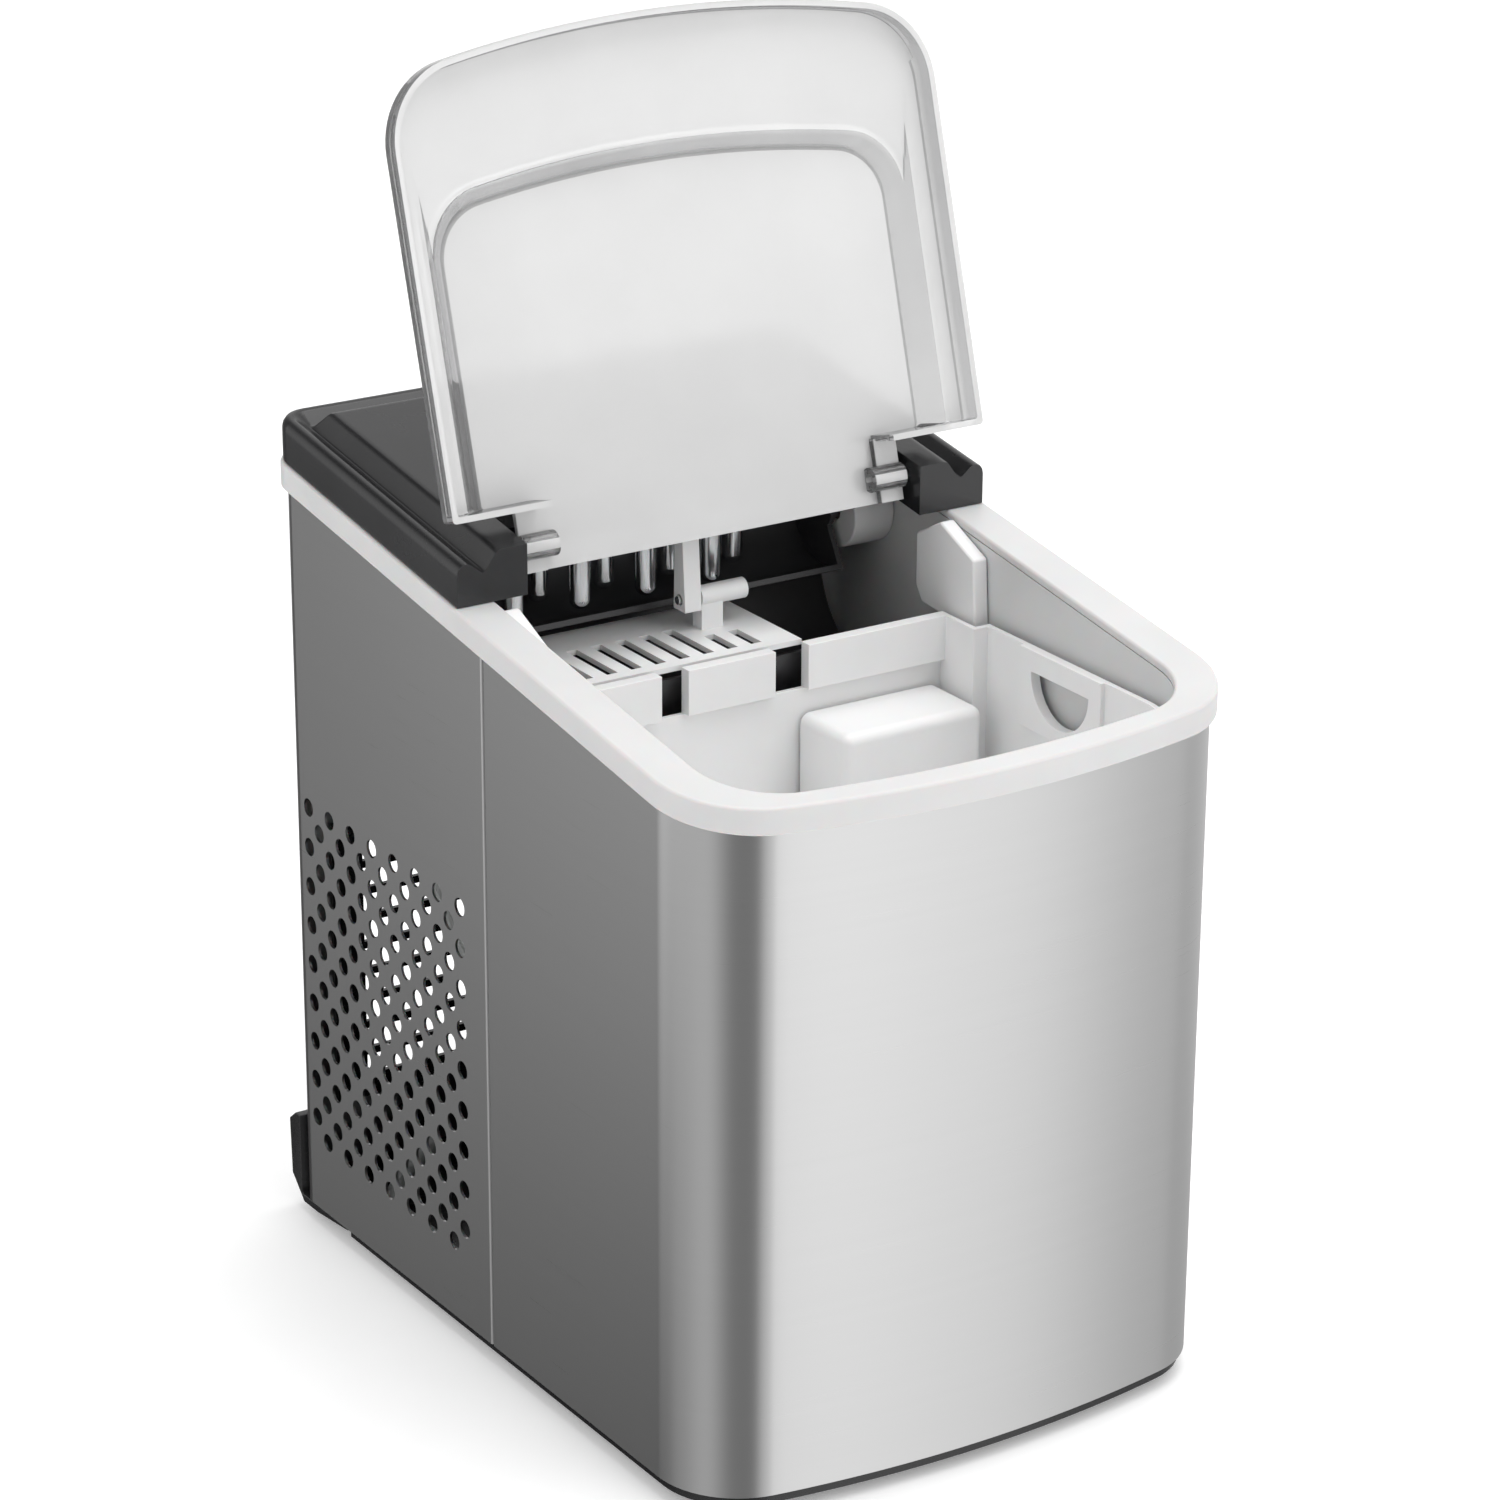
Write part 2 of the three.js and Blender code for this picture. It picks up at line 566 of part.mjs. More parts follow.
// ---------------------------------------------------------------- control panel, buttons, lamps and board
const lampX = [-50, -38, 38, 50];
const lampRadius = 2;
const panelTop = islandHeight + panelProud;
const lampHoles = lampX.map((x) => onPanel(lampRadius + gap, x, panelBase, far));
const panelPlate = upright(panelPlan(0), 0, far, 12).intersect(layer(islandHeight - panelSink, panelTop));
add("control_panel", cut(panelPlate, ...buttonHoles, ...lampHoles), enamel);
const buttonNames = ["power_button", "select_button"];
buttonNames.forEach((name, i) => {
  const x = buttonX * (2 * i - 1);
  const shape = onPanel(buttonRadius, x, panelBase, far).intersect(layer(boardTop + 1.6, panelTop + buttonProud));
  add(name, shape, grey);
});
lampX.forEach((x, i) => {
  const lamp = onPanel(lampRadius, x, panelBase, far).intersect(layer(islandHeight - panelSink, panelTop + 0.4));
  add("indicator_lamp_" + (i + 1), lamp, lens);
});
const boardPlate = box(-50, 22, 60, 98, 0, far).intersect(layer(boardTop - 1.6, boardTop));
const boardChips = [box(-30, -14, 82, 94, 0, far), box(2, 12, 84, 92, 0, far)].map((chip) =>
  chip.intersect(layer(boardTop - 4.2, boardTop - 1)),
);
add("control_board", join(boardPlate, ...boardChips), board);

// ---------------------------------------------------------------- lid, drawn closed and then turned to its open stop
const lidPlan = (halfWidth, tip, radius, heel = lidHeel) => ({
  halfWidth, front: -tip, rear: -heel, bow: frontBow * (halfWidth / lidHalfWidth) ** 2, radius, backRadius: 1.5,
});
const level = (height) => () => height;
const lidRings = (wall, drop) => [
  [bowed(lidPlan(lidHalfWidth, lidTip, 30), wall), level(lidRim - drop)],
  [bowed(lidPlan(lidHalfWidth, lidTip, 30), wall), level(lidRim + lidSkirt - wall)],
  [bowed(lidPlan(lidHalfWidth - 6, lidTip - 7, 27), wall), level(lidRim + lidSkirt + 1.4 - wall)],
  [bowed(lidPlan(lidHalfWidth - 11, lidTip - 43, 26), wall), level(lidRim + lidShoulder - wall)],
  [bowed(lidPlan(lidHalfWidth - 17.5, lidTip - 50, 22), wall), level(lidRim + lidWindow - wall)],
];
const lidTopZ = lidRim + lidWindow;
const lidShell = cut(loft(lidRings(0, 0)), loft(lidRings(lidWall, 2.5)));
const heelDoor = box(1 - tongueFold, tongueFold - 1, -lidHeel - 5, far, lidRim - 1, lidTopZ - lidWall);
const tongue = box(-tongueFold, tongueFold, -lidHeel - 4, -tongueEnd, lidTopZ - lidWall, lidTopZ);
const folds = [-1, 1].flatMap((side) => {
  const span = (a, b) => [side * a, side * b].sort((p, q) => p - q);
  return [
    box(...span(tongueFold - 2, tongueFold), -lidHeel - 1, -tongueEnd, lidTopZ - 5, lidTopZ - 0.5),
    box(...span(tongueFold - 1, tongueHalfWidth), -lidHeel - 1, -tongueEnd, lidTopZ - 5, lidTopZ - 3),
    rod(4.6, [side * 66, 0, 0], [side * tongueHalfWidth, 0, 0], 16),
  ];
});
const lidBore = rod(pinRadius + gap, [-far, 0, 0], [far, 0, 0]);
const tilt = THREE.MathUtils.radToDeg(Math.atan(slope));
const lidShape = cut(join(cut(lidShell, heelDoor), tongue, ...folds), lidBore).rotate([tilt - lidOpen, 0, 0]);
add("lid", lidShape.translate([0, hingeY, hingeZ]), clear);
for (const [side, x] of [["left", -1], ["right", 1]])
  add("hinge_pin_" + side, rod(pinRadius, pinAt(x * 68), pinAt(x * pinEnd)), nickel);

// ---------------------------------------------------------------- back grille, inlet, drain and screws
const grilleShape = box(
  -windowHalfWidth - 5, windowHalfWidth + 5, bodyRear - sheet - gap - 2, bodyRear - sheet - gap, windowBottom - 5,
  windowTop + 5,
);
const slotTall = 8;
const louvres = [];
for (let z = windowBottom + 4; z + slotTall < windowTop; z += slotTall + 3)
  for (const x of [-42, 42]) louvres.push(box(x - 38, x + 38, 0, far, z, z + slotTall));
add("back_grille", cut(grilleShape, ...louvres), dark);

const inletBody = box(inletX - 14.7, inletX + 14.7, bodyRear - 16, bodyRear + 3, inletZ - 10.7, inletZ + 10.7);
const inletRoom = box(inletX - 12, inletX + 12, bodyRear - 12, far, inletZ - 8, inletZ + 8);
const inletPins = [-6, 0, 6].map((x, i) => {
  const z = inletZ + (i === 1 ? 3 : -2);
  return box(inletX + x - 1, inletX + x + 1, bodyRear - 13, bodyRear - 1, z - 2.5, z + 2.5);
});
add("power_inlet", join(cut(inletBody, inletRoom), ...inletPins), enamel);

const drainAt = (y) => [drainX, y, drainZ];
const drainTube = rod(drainRadius, drainAt(bodyRear - 14), drainAt(bodyRear + 1), 16);
const drainBore = rod(4.4, drainAt(bodyRear - 15), drainAt(bodyRear + 2));
add("drain_spout", cut(drainTube, drainBore), enamel);
const capHead = rod(8.5, drainAt(bodyRear + 1 + gap), drainAt(bodyRear + 6), 20);
add("drain_cap", join(capHead, rod(4.1, drainAt(bodyRear - 6), drainAt(bodyRear + 2))), rubber);
let screw = 1;
for (const x of [-96, 96])
  for (const z of [bumperTop + 4.4, 190]) {
    const head = rod(3.6, [x, bodyRear + gap, z], [x, bodyRear + 2.4, z], 12);
    add("back_screw_" + screw++, cut(head, box(x - 2.5, x + 2.5, bodyRear + 1.5, far, z - 0.5, z + 0.5)), nickel);
  }

// ---------------------------------------------------------------- cooling circuit
const floorZ = baseFloor + gap;
const domeX = -5;
const domeY = 70;
const domeRadius = 36;
const can = [[0, 0], [26, 0], [34, 5], [domeRadius, 14], [domeRadius, 58], [33, 72], [24, 80], [10, 84], [0, 84]];
const canShape = solid(
  new THREE.LatheGeometry(can.map(([r, z]) => new THREE.Vector2(r, z)), 24).rotateX(Math.PI / 2),
).translate([domeX, domeY, 22]);
const canPlate = box(domeX - 44, domeX + 44, domeY - 30, domeY + 30, 20, 23);
add("compressor", join(canShape, canPlate), enamel);
const mounts = [[-38, 24], [38, 24], [-38, -24], [38, -24]];
mounts.forEach(([x, y], i) => {
  const at = [domeX + x, domeY + y];
  add("compressor_mount_" + (i + 1), rod(6, [...at, floorZ], [...at, 20 - gap]), rubber);
});

const condenserLeft = 80;
const condenserRight = 98;
const condenserFront = fanY - 45;
const condenserRear = fanY + 45;
const condenserTop = fanZ + 62;
const fins = 6;
const plates = [];
for (let i = 0; i <= fins; i++) {
  const y = condenserFront + (condenserRear - condenserFront - 1.2) * (i / fins);
  const low = i % fins ? 30 : floorZ;
  plates.push(box(condenserLeft, condenserRight, y, y + 1.2, low, condenserTop));
}
const passes = [54, 100, 146].map((z) => rod(3.4, [89, condenserFront - 3, z], [89, condenserRear + 3, z], 6));
add("condenser", join(...plates, ...passes), aluminium);

const shroudLeft = 58;
const shroudRight = 76;
const shroudOuter = box(shroudLeft, shroudRight, fanY - 44, fanY + 44, floorZ, fanZ + 44);
const fanAt = (x) => [x, fanY, fanZ];
const throat = rod(fanRadius + 2, fanAt(shroudLeft + 2), fanAt(far), 28);
const windows = [0, 1, 2, 3].map((i) => {
  const wedge = new THREE.Shape();
  const start = (i * Math.PI) / 2 + 0.22;
  wedge.absarc(fanY, fanZ, fanRadius, start, start + Math.PI / 2 - 0.44);
  wedge.absarc(fanY, fanZ, 16, start + Math.PI / 2 - 0.44, start, true);
  return acrossX(wedge, shroudLeft - 1, shroudLeft + 4);
});
const shaftRadius = 2.5;
const shaftHole = rod(shaftRadius + gap, fanAt(shroudLeft - 1), fanAt(shroudLeft + 4));
add("fan_shroud", cut(shroudOuter, throat, ...windows, shaftHole), dark);
const motorBody = rod(15, fanAt(shroudLeft - 18), fanAt(shroudLeft - gap), 20);
add("fan_motor", cut(motorBody, rod(shaftRadius + gap, fanAt(shroudLeft - 10), fanAt(shroudLeft + 1))), aluminium);
const hub = join(
  rod(11, fanAt(shroudLeft + 4), fanAt(shroudRight - 2), 20),
  rod(shaftRadius, fanAt(shroudLeft - 8), fanAt(shroudLeft + 5)),
);
const blades = [0, 1, 2, 3, 4].map((i) => {
  const blade = new THREE.BoxGeometry(1.6, 13, fanRadius - 9).rotateZ(0.7).translate(0, 0, (fanRadius + 9) / 2);
  const turned = blade.rotateX((i * 2 * Math.PI) / 5).translate((shroudLeft + shroudRight) / 2 + 1, fanY, fanZ);
  return solid(turned);
});
add("fan_rotor", join(hub, ...blades), grey);

const lineZ = supportHigh + 1.6;
const topOfCan = 22 + 84 + gap;
const linePath = (x, endX, endY) => [
  [x, trayAxisY, blockTop + 3 + gap], [x, trayAxisY + 1, lineZ - 4], [x, trayAxisY + 6, lineZ],
  [x, serviceFront + 2, lineZ], [x, serviceFront + 8, lineZ - 6], [x, serviceFront + 9, lineZ - 30],
  [x, serviceFront + 6, 190], [endX, endY, 140], [endX, endY, topOfCan + 8], [endX, endY, topOfCan],
];
add("suction_line", tube(2.2, linePath(lineX[0], domeX + 14, domeY + 10), 26), copper);
const gasPath = linePath(lineX[1], 50, 100);
gasPath.splice(-3, 3, [60, 126, 168], [74, 139, 152], [87, condenserRear + 7, 146], [89, condenserRear + 7, 146]);
add("hot_gas_line", tube(2.2, gasPath, 26), copper);

// ---------------------------------------------------------------- water circuit
const pumpX = -66;
const pumpY = 34;
const pumpTop = 46;
const pumpBody = rod(16, [pumpX, pumpY, floorZ], [pumpX, pumpY, pumpTop], 20);
const pumpNose = rod(4.5, [pumpX, pumpY - 12, 30], [pumpX, pumpY - 24, 30]);
const pumpOut = rod(4, [pumpX, pumpY, pumpTop - 1], [pumpX, pumpY, pumpTop + 6]);
add("water_pump", join(pumpBody, pumpNose, pumpOut), enamel);
const tankX = spouts[0][0];
const tankY = spouts[0][1];
const spoutEnd = tankFloor - 12 - gap;
add(
  "pump_hose",
  tube(4, [[tankX, tankY, spoutEnd], [tankX, tankY, 44], [tankX, tankY + 8, 32],
    [pumpX, pumpY - 30, 30], [pumpX, pumpY - 24 - gap, 30]], 14),
  hose,
);
add(
  "fill_hose",
  tube(3.2, [
    [pumpX, pumpY, pumpTop + 6 + gap], [pumpX, pumpY, pumpTop + 14], [pumpX - 4, pumpY + 8, 90], [fillX, mouthRear + 10, 150],
    [fillX, serviceFront + 10, 240], [fillX, serviceFront + 9, lineZ - 6], [fillX, serviceFront, lineZ + 2.5],
    [fillX, trayAxisY + 10, lineZ + 2.5], [fillX, trayAxisY, lineZ - 5],
  ], 24),
  hose,
);
const [drainTankX, drainTankY] = spouts[1];
add(
  "drain_hose",
  tube(3.8, [
    [drainTankX, drainTankY, spoutEnd], [drainTankX, drainTankY, 40], [drainTankX - 6, 4, 16.5],
    [-90, 20, 16], [-92, 70, 16], [-90, 110, 18], [drainX, 126, drainZ], [drainX, bodyRear - 20, drainZ],
    [drainX, bodyRear - 14 - gap, drainZ],
  ], 24),
  hose,
);
const floatX = 40;
const floatY = -40;
const stemTop = 108;
const stem = rod(3, [floatX, floatY, tankFloor + gap], [floatX, floatY, stemTop], 12);
const stemFoot = rod(9, [floatX, floatY, tankFloor + gap], [floatX, floatY, tankFloor + 3], 16);
const stemCap = rod(5.5, [floatX, floatY, stemTop - 2], [floatX, floatY, stemTop], 12);
add("float_stem", join(stem, stemFoot, stemCap), white);
const floatRing = rod(9, [floatX, floatY, 74], [floatX, floatY, 88], 20);
add("float_ring", cut(floatRing, rod(3.4, [floatX, floatY, 70], [floatX, floatY, 90])), white);

// The pieces are drawn about the middle of the steel body; the group puts the whole footprint's middle at the origin.
root.position.y = -(bumperRear + bodyFront - collarOverhang) / 2;

export default root;
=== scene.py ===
# %% [markdown]
# A compact counter-top ice maker, dressed on top of its packed engineering model. The frame is loaded first: it
# fixes where each piece sits and how it moves. Everything below adds looks only.

# %% Load the frame
import json
import math

import bmesh
import bpy
from mathutils import Matrix, Vector


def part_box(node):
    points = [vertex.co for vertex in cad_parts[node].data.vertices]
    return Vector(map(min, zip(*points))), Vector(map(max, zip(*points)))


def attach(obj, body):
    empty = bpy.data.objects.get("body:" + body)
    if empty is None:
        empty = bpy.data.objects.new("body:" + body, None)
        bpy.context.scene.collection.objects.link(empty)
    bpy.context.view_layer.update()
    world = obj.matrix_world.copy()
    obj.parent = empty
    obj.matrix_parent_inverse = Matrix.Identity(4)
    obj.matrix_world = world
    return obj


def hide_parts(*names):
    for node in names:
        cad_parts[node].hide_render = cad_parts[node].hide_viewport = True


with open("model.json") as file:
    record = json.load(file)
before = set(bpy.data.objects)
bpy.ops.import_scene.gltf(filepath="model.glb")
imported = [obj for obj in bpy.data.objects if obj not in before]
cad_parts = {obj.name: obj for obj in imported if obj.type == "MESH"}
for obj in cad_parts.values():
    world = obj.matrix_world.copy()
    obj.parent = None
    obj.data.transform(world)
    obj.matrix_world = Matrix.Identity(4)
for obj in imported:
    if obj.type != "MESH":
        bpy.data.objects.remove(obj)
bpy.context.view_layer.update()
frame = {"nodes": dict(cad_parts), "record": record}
node_material = {part["node"]: part["material_slot"] for part in frame["record"]["subparts"]}

# %% [markdown]
# The drawings of this machine count in millimetres from the middle of its steel body, which is not quite the middle
# of its footprint, because the rear bumpers stick out. One matrix turns drawing millimetres into frame metres, so
# the pieces below can be drawn with workshop numbers.

# %% Drawing frame
front_low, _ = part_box("front_shell")
_, rear_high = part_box("rear_shell")
to_frame = Matrix.Translation((0, (front_low.y + rear_high.y) / 2, 0)) @ Matrix.Scale(0.001, 4)
print("drawing origin lies at y =", round(to_frame.translation.y * 1000, 2), "mm")

# %% [markdown]
# A long lens from the front left, a little above the machine, keeps the sides of the box nearly parallel. The camera
# aims at the middle of the body and is rolled by a fraction of a degree.

# %% Camera
camera = bpy.data.objects.new("camera", bpy.data.cameras.new("camera"))
camera.data.lens = 115.0
camera.data.sensor_width = 36
camera.data.clip_end = 50
eye = Vector((-0.8676, -1.33427, 0.8242))
aim = Vector((0.00015, -0.00104, 0.21481))
camera.location = eye
roll = Matrix.Rotation(math.radians(0.29), 3, "Z")
camera.rotation_euler = ((aim - eye).to_track_quat("-Z", "Y").to_matrix() @ roll).to_euler()
bpy.context.scene.collection.objects.link(camera)
bpy.context.scene.camera = camera

# %% [markdown]
# Brushed steel shows what stands round it, so the room matters more than the metal. Its walls carry grey levels that
# change with direction: dark just left of the front and straight behind, brightest to the front right and the rear
# left. That lets the corner of the wrap turn from light to dark. Directions that point well below the horizon take a
# second, darker set, so the steel deepens towards its foot. Three soft boxes light the machine from above, from the
# front right and from the left.

# %% Lights
def soft_box(name, place, target, width, height, watts):
    light = bpy.data.lights.new(name, "AREA")
    light.shape = "RECTANGLE"
    light.size, light.size_y, light.energy = width, height, watts
    holder = bpy.data.objects.new(name, light)
    holder.location = place
    holder.rotation_euler = (Vector(target) - Vector(place)).to_track_quat("-Z", "Y").to_euler()
    bpy.context.scene.collection.objects.link(holder)


soft_box("overhead_box", (0.3, -0.1, 2.2), (0, 0, 0.2), 2.0, 1.8, 26)
soft_box("front_right_box", (1.9, -1.9, 0.9), (0, 0, 0.2), 1.0, 1.8, 3)
soft_box("left_strip", (-2.2, -0.6, 1.4), (0, 0, 0.2), 0.5, 1.8, 2)
bpy.context.scene.view_settings.view_transform = "Standard"

room = bpy.data.worlds.new("room")
room.use_nodes = True
bpy.context.scene.world = room
links, nodes = room.node_tree.links, room.node_tree.nodes
nodes.clear()
direction = nodes.new("ShaderNodeTexCoord")
apart = nodes.new("ShaderNodeSeparateXYZ")
turn = nodes.new("ShaderNodeMath")
turn.operation = "ARCTAN2"
share = nodes.new("ShaderNodeMapRange")
share.inputs["From Min"].default_value, share.inputs["From Max"].default_value = -math.pi, math.pi


def wall_tones(stops):
    """Grey levels round the room: 0 and 1 are the front, 0.25 the left, 0.5 the back and 0.75 the right."""
    walls = nodes.new("ShaderNodeValToRGB")
    walls.color_ramp.interpolation = "EASE"
    for i, (at, level) in enumerate(stops):
        stop = walls.color_ramp.elements[i] if i < 2 else walls.color_ramp.elements.new(at)
        stop.position = at
        stop.color = (level, level, level, 1)
    links.new(share.outputs[0], walls.inputs[0])
    return walls.outputs[0]


def mix_colours(tree, factor, first, second):
    """Mixes two colours. A Mix node's colour sockets are numbers 6 and 7, and its colour result is number 2."""
    mix = tree.nodes.new("ShaderNodeMix")
    mix.data_type = "RGBA"
    tree.links.new(factor, mix.inputs[0])
    for socket, colour in ((mix.inputs[6], first), (mix.inputs[7], second)):
        if isinstance(colour, tuple):
            socket.default_value = colour
        else:
            tree.links.new(colour, socket)
    return mix.outputs[2]


upper_stops = [
    (0.0, 0.62), (0.035, 0.20), (0.10, 0.20), (0.20, 0.56), (0.31, 0.72), (0.375, 0.92), (0.435, 0.06), (0.46, 0.08),
    (0.49, 0.12), (0.57, 0.55), (0.70, 0.55), (0.83, 0.50), (0.90, 0.98), (0.965, 1.1), (0.99, 0.6),
]
lower_stops = [
    (0.0, 0.50), (0.035, 0.14), (0.10, 0.16), (0.20, 0.34), (0.31, 0.14), (0.36, 0.0), (0.435, 0.0), (0.46, 0.0),
    (0.49, 0.01), (0.57, 0.30), (0.70, 0.32), (0.83, 0.34), (0.90, 0.70), (0.965, 0.85), (0.99, 0.45),
]
lower_end, upper_start = -0.46, -0.30
room_strength = 1.5
height = nodes.new("ShaderNodeMapRange")
height.inputs["From Min"].default_value, height.inputs["From Max"].default_value = lower_end, upper_start
glow = nodes.new("ShaderNodeBackground")
glow.inputs["Strength"].default_value = room_strength
out = nodes.new("ShaderNodeOutputWorld")
links.new(direction.outputs["Generated"], apart.inputs[0])
links.new(apart.outputs["X"], turn.inputs[0])
links.new(apart.outputs["Y"], turn.inputs[1])
links.new(turn.outputs[0], share.inputs["Value"])
links.new(apart.outputs["Z"], height.inputs["Value"])
tones = mix_colours(room.node_tree, height.outputs[0], wall_tones(lower_stops), wall_tones(upper_stops))
links.new(tones, glow.inputs["Color"])
links.new(glow.outputs[0], out.inputs[0])
print("room lit with 2 x", len(upper_stops), "tone stops and 3 soft boxes")

# %% [markdown]
# Several finishes share an effect, so each effect is a node group with its own controls, placed in every material
# that wants it. Moulding grain is fine noise that barely lifts the surface. Handling marks are wide, faint patches
# that dull the gloss a little. Brush lines are noise stretched along one direction until it turns into streaks.

# %% Effect groups
def start_group(name, inputs, outputs):
    group = bpy.data.node_groups.new(name, "ShaderNodeTree")
    for label, value in inputs:
        group.interface.new_socket(label, in_out="INPUT", socket_type="NodeSocketFloat").default_value = value
    for label in outputs:
        group.interface.new_socket(label, in_out="OUTPUT", socket_type="NodeSocketFloat")
    return group, group.nodes.new("NodeGroupInput"), group.nodes.new("NodeGroupOutput")


def place_noise(tree, stretch=(1, 1, 1), detail=2, size=None):
    """Noise over the piece's own coordinates. Its size is left open where a group's control sets it."""
    where = tree.nodes.new("ShaderNodeTexCoord")
    mapping = tree.nodes.new("ShaderNodeMapping")
    mapping.inputs["Scale"].default_value = stretch
    noise = tree.nodes.new("ShaderNodeTexNoise")
    noise.inputs["Detail"].default_value = detail
    if size is not None:
        noise.inputs["Scale"].default_value = size
    tree.links.new(where.outputs["Object"], mapping.inputs[0])
    tree.links.new(mapping.outputs[0], noise.inputs["Vector"])
    return noise


def spread(tree, value, low, high):
    """Carries a 0 to 1 value onto the span from low to high."""
    node = tree.nodes.new("ShaderNodeMapRange")
    tree.links.new(value, node.inputs["Value"])
    for socket, wanted in (("To Min", low), ("To Max", high)):
        if isinstance(wanted, (int, float)):
            node.inputs[socket].default_value = wanted
        else:
            tree.links.new(wanted, node.inputs[socket])
    return node.outputs[0]


controls = [("Grain size", 900.0), ("Smooth", 0.3), ("Dull", 0.4)]
moulding, given, made = start_group("moulding_grain", controls, ["Height", "Roughness"])
grain = place_noise(moulding)
moulding.links.new(given.outputs["Grain size"], grain.inputs["Scale"])
moulding.links.new(grain.outputs["Fac"], made.inputs["Height"])
marks = place_noise(moulding, detail=3, size=34)
dulled = spread(moulding, marks.outputs["Fac"], given.outputs["Smooth"], given.outputs["Dull"])
moulding.links.new(dulled, made.inputs["Roughness"])

controls = [("Smooth", 0.2), ("Dull", 0.4), ("Dark", 0.55), ("Light", 0.7)]
brushed, given, made = start_group("brush_lines", controls, ["Height", "Roughness", "Tone"])
fine = place_noise(brushed, (10, 10, 2600), 3, size=1)
wide = place_noise(brushed, (4, 4, 420), 2, size=1)
brushed.links.new(fine.outputs["Fac"], made.inputs["Height"])
dulled = spread(brushed, fine.outputs["Fac"], given.outputs["Smooth"], given.outputs["Dull"])
brushed.links.new(dulled, made.inputs["Roughness"])
toned = spread(brushed, wide.outputs["Fac"], given.outputs["Dark"], given.outputs["Light"])
brushed.links.new(toned, made.inputs["Tone"])
print("effect groups:", [g.name for g in bpy.data.node_groups])


# %% [markdown]
# Each finish starts from one function that makes the shader and sets the values that are the same all over. The
# second adds moulding grain to plastics and rubber, the third brush lines to sheet metal. The last one paints shade
# into a finish's colour where it is seen edge on, standing in for the dark look of a clear plastic moulding's sides.

# %% Finish makers
finishes = {}


def bare_finish(name, colour, **sockets):
    material = bpy.data.materials.new(name)
    material.use_nodes = True
    shader = material.node_tree.nodes["Principled BSDF"]
    shader.inputs["Base Color"].default_value = (*colour, 1)
    for socket, value in sockets.items():
        shader.inputs[socket.replace("_", " ")].default_value = value
    finishes[name] = material
    return material.node_tree, shader


def bump(tree, shader, height, strength, distance):
    node = tree.nodes.new("ShaderNodeBump")
    node.inputs["Strength"].default_value = strength
    node.inputs["Distance"].default_value = distance
    tree.links.new(height, node.inputs["Height"])
    tree.links.new(node.outputs[0], shader.inputs["Normal"])


def tint_by(tree, shader, value, dark, light):
    """Base colour that wanders between two close colours."""
    ramp = tree.nodes.new("ShaderNodeValToRGB")
    ramp.color_ramp.elements[0].color = (*dark, 1)
    ramp.color_ramp.elements[1].color = (*light, 1)
    ramp.color_ramp.elements[0].position, ramp.color_ramp.elements[1].position = 0.3, 0.7
    tree.links.new(value, ramp.inputs[0])
    tree.links.new(ramp.outputs[0], shader.inputs["Base Color"])


def moulded_finish(name, dark, light, smooth, dull, grain_size=900.0, lift=0.12, **sockets):
    tree, shader = bare_finish(name, light, **sockets)
    effect = tree.nodes.new("ShaderNodeGroup")
    effect.node_tree = moulding
    for label, value in (("Grain size", grain_size), ("Smooth", smooth), ("Dull", dull)):
        effect.inputs[label].default_value = value
    tree.links.new(effect.outputs["Roughness"], shader.inputs["Roughness"])
    tint_by(tree, shader, place_noise(tree, size=26).outputs["Fac"], dark, light)
    bump(tree, shader, effect.outputs["Height"], lift, 0.0002)


def brushed_finish(name, smooth, dull, dark, light, lift, **sockets):
    tree, shader = bare_finish(name, (light, light, light), Metallic=1.0, **sockets)
    effect = tree.nodes.new("ShaderNodeGroup")
    effect.node_tree = brushed
    for label, value in (("Smooth", smooth), ("Dull", dull), ("Dark", dark), ("Light", light)):
        effect.inputs[label].default_value = value
    tree.links.new(effect.outputs["Roughness"], shader.inputs["Roughness"])
    tree.links.new(effect.outputs["Tone"], shader.inputs["Base Color"])
    around = tree.nodes.new("ShaderNodeTangent")
    around.direction_type, around.axis = "RADIAL", "Z"
    tree.links.new(around.outputs[0], shader.inputs["Tangent"])
    bump(tree, shader, effect.outputs["Height"], lift, 0.0001)


# Painted shade: the finish's colour is mixed towards a dark grey where a face is seen edge on.
def paint_edge_on_shade(name, colour, blend):
    tree = finishes[name].node_tree
    shader = tree.nodes["Principled BSDF"]
    own_colour = shader.inputs["Base Color"].links[0].from_socket
    seen = tree.nodes.new("ShaderNodeLayerWeight")
    seen.inputs["Blend"].default_value = blend
    tree.links.new(mix_colours(tree, seen.outputs["Facing"], own_colour, (*colour, 1)), shader.inputs["Base Color"])


# %% [markdown]
# The finishes of this machine. The wrap is brushed sheet. Collar and tub are milky, so a little light goes into
# them and comes out nearby. The cover is satin black. The lid has two finishes: a clear one, grey partly as its tint
# and partly as painted shade, with more painted shade mixed in where it is seen edge on, and a milkier one for its
# flat parts. The fingers that freeze the ice are nickel plated.

# %% Finishes
brushed_finish("steel", 0.27, 0.285, 0.56, 0.575, 0.005, Anisotropic=0.45, Anisotropic_Rotation=0.25)
moulded_finish(
    "collar_white", (0.62, 0.62, 0.62), (0.66, 0.66, 0.66), 0.32, 0.44, Subsurface_Weight=0.25, Subsurface_Scale=0.004,
)
moulded_finish(
    "white_plastic", (0.82, 0.82, 0.82), (0.86, 0.86, 0.86), 0.34, 0.48, Subsurface_Weight=0.12, Subsurface_Scale=0.002,
)
moulded_finish("dark_plastic", (0.012, 0.012, 0.013), (0.018, 0.018, 0.019), 0.20, 0.32)
moulded_finish("grey_plastic", (0.030, 0.030, 0.032), (0.045, 0.045, 0.047), 0.32, 0.46, lift=0.2)
moulded_finish("panel_gloss", (0.008, 0.008, 0.009), (0.012, 0.012, 0.013), 0.06, 0.14, lift=0.02)
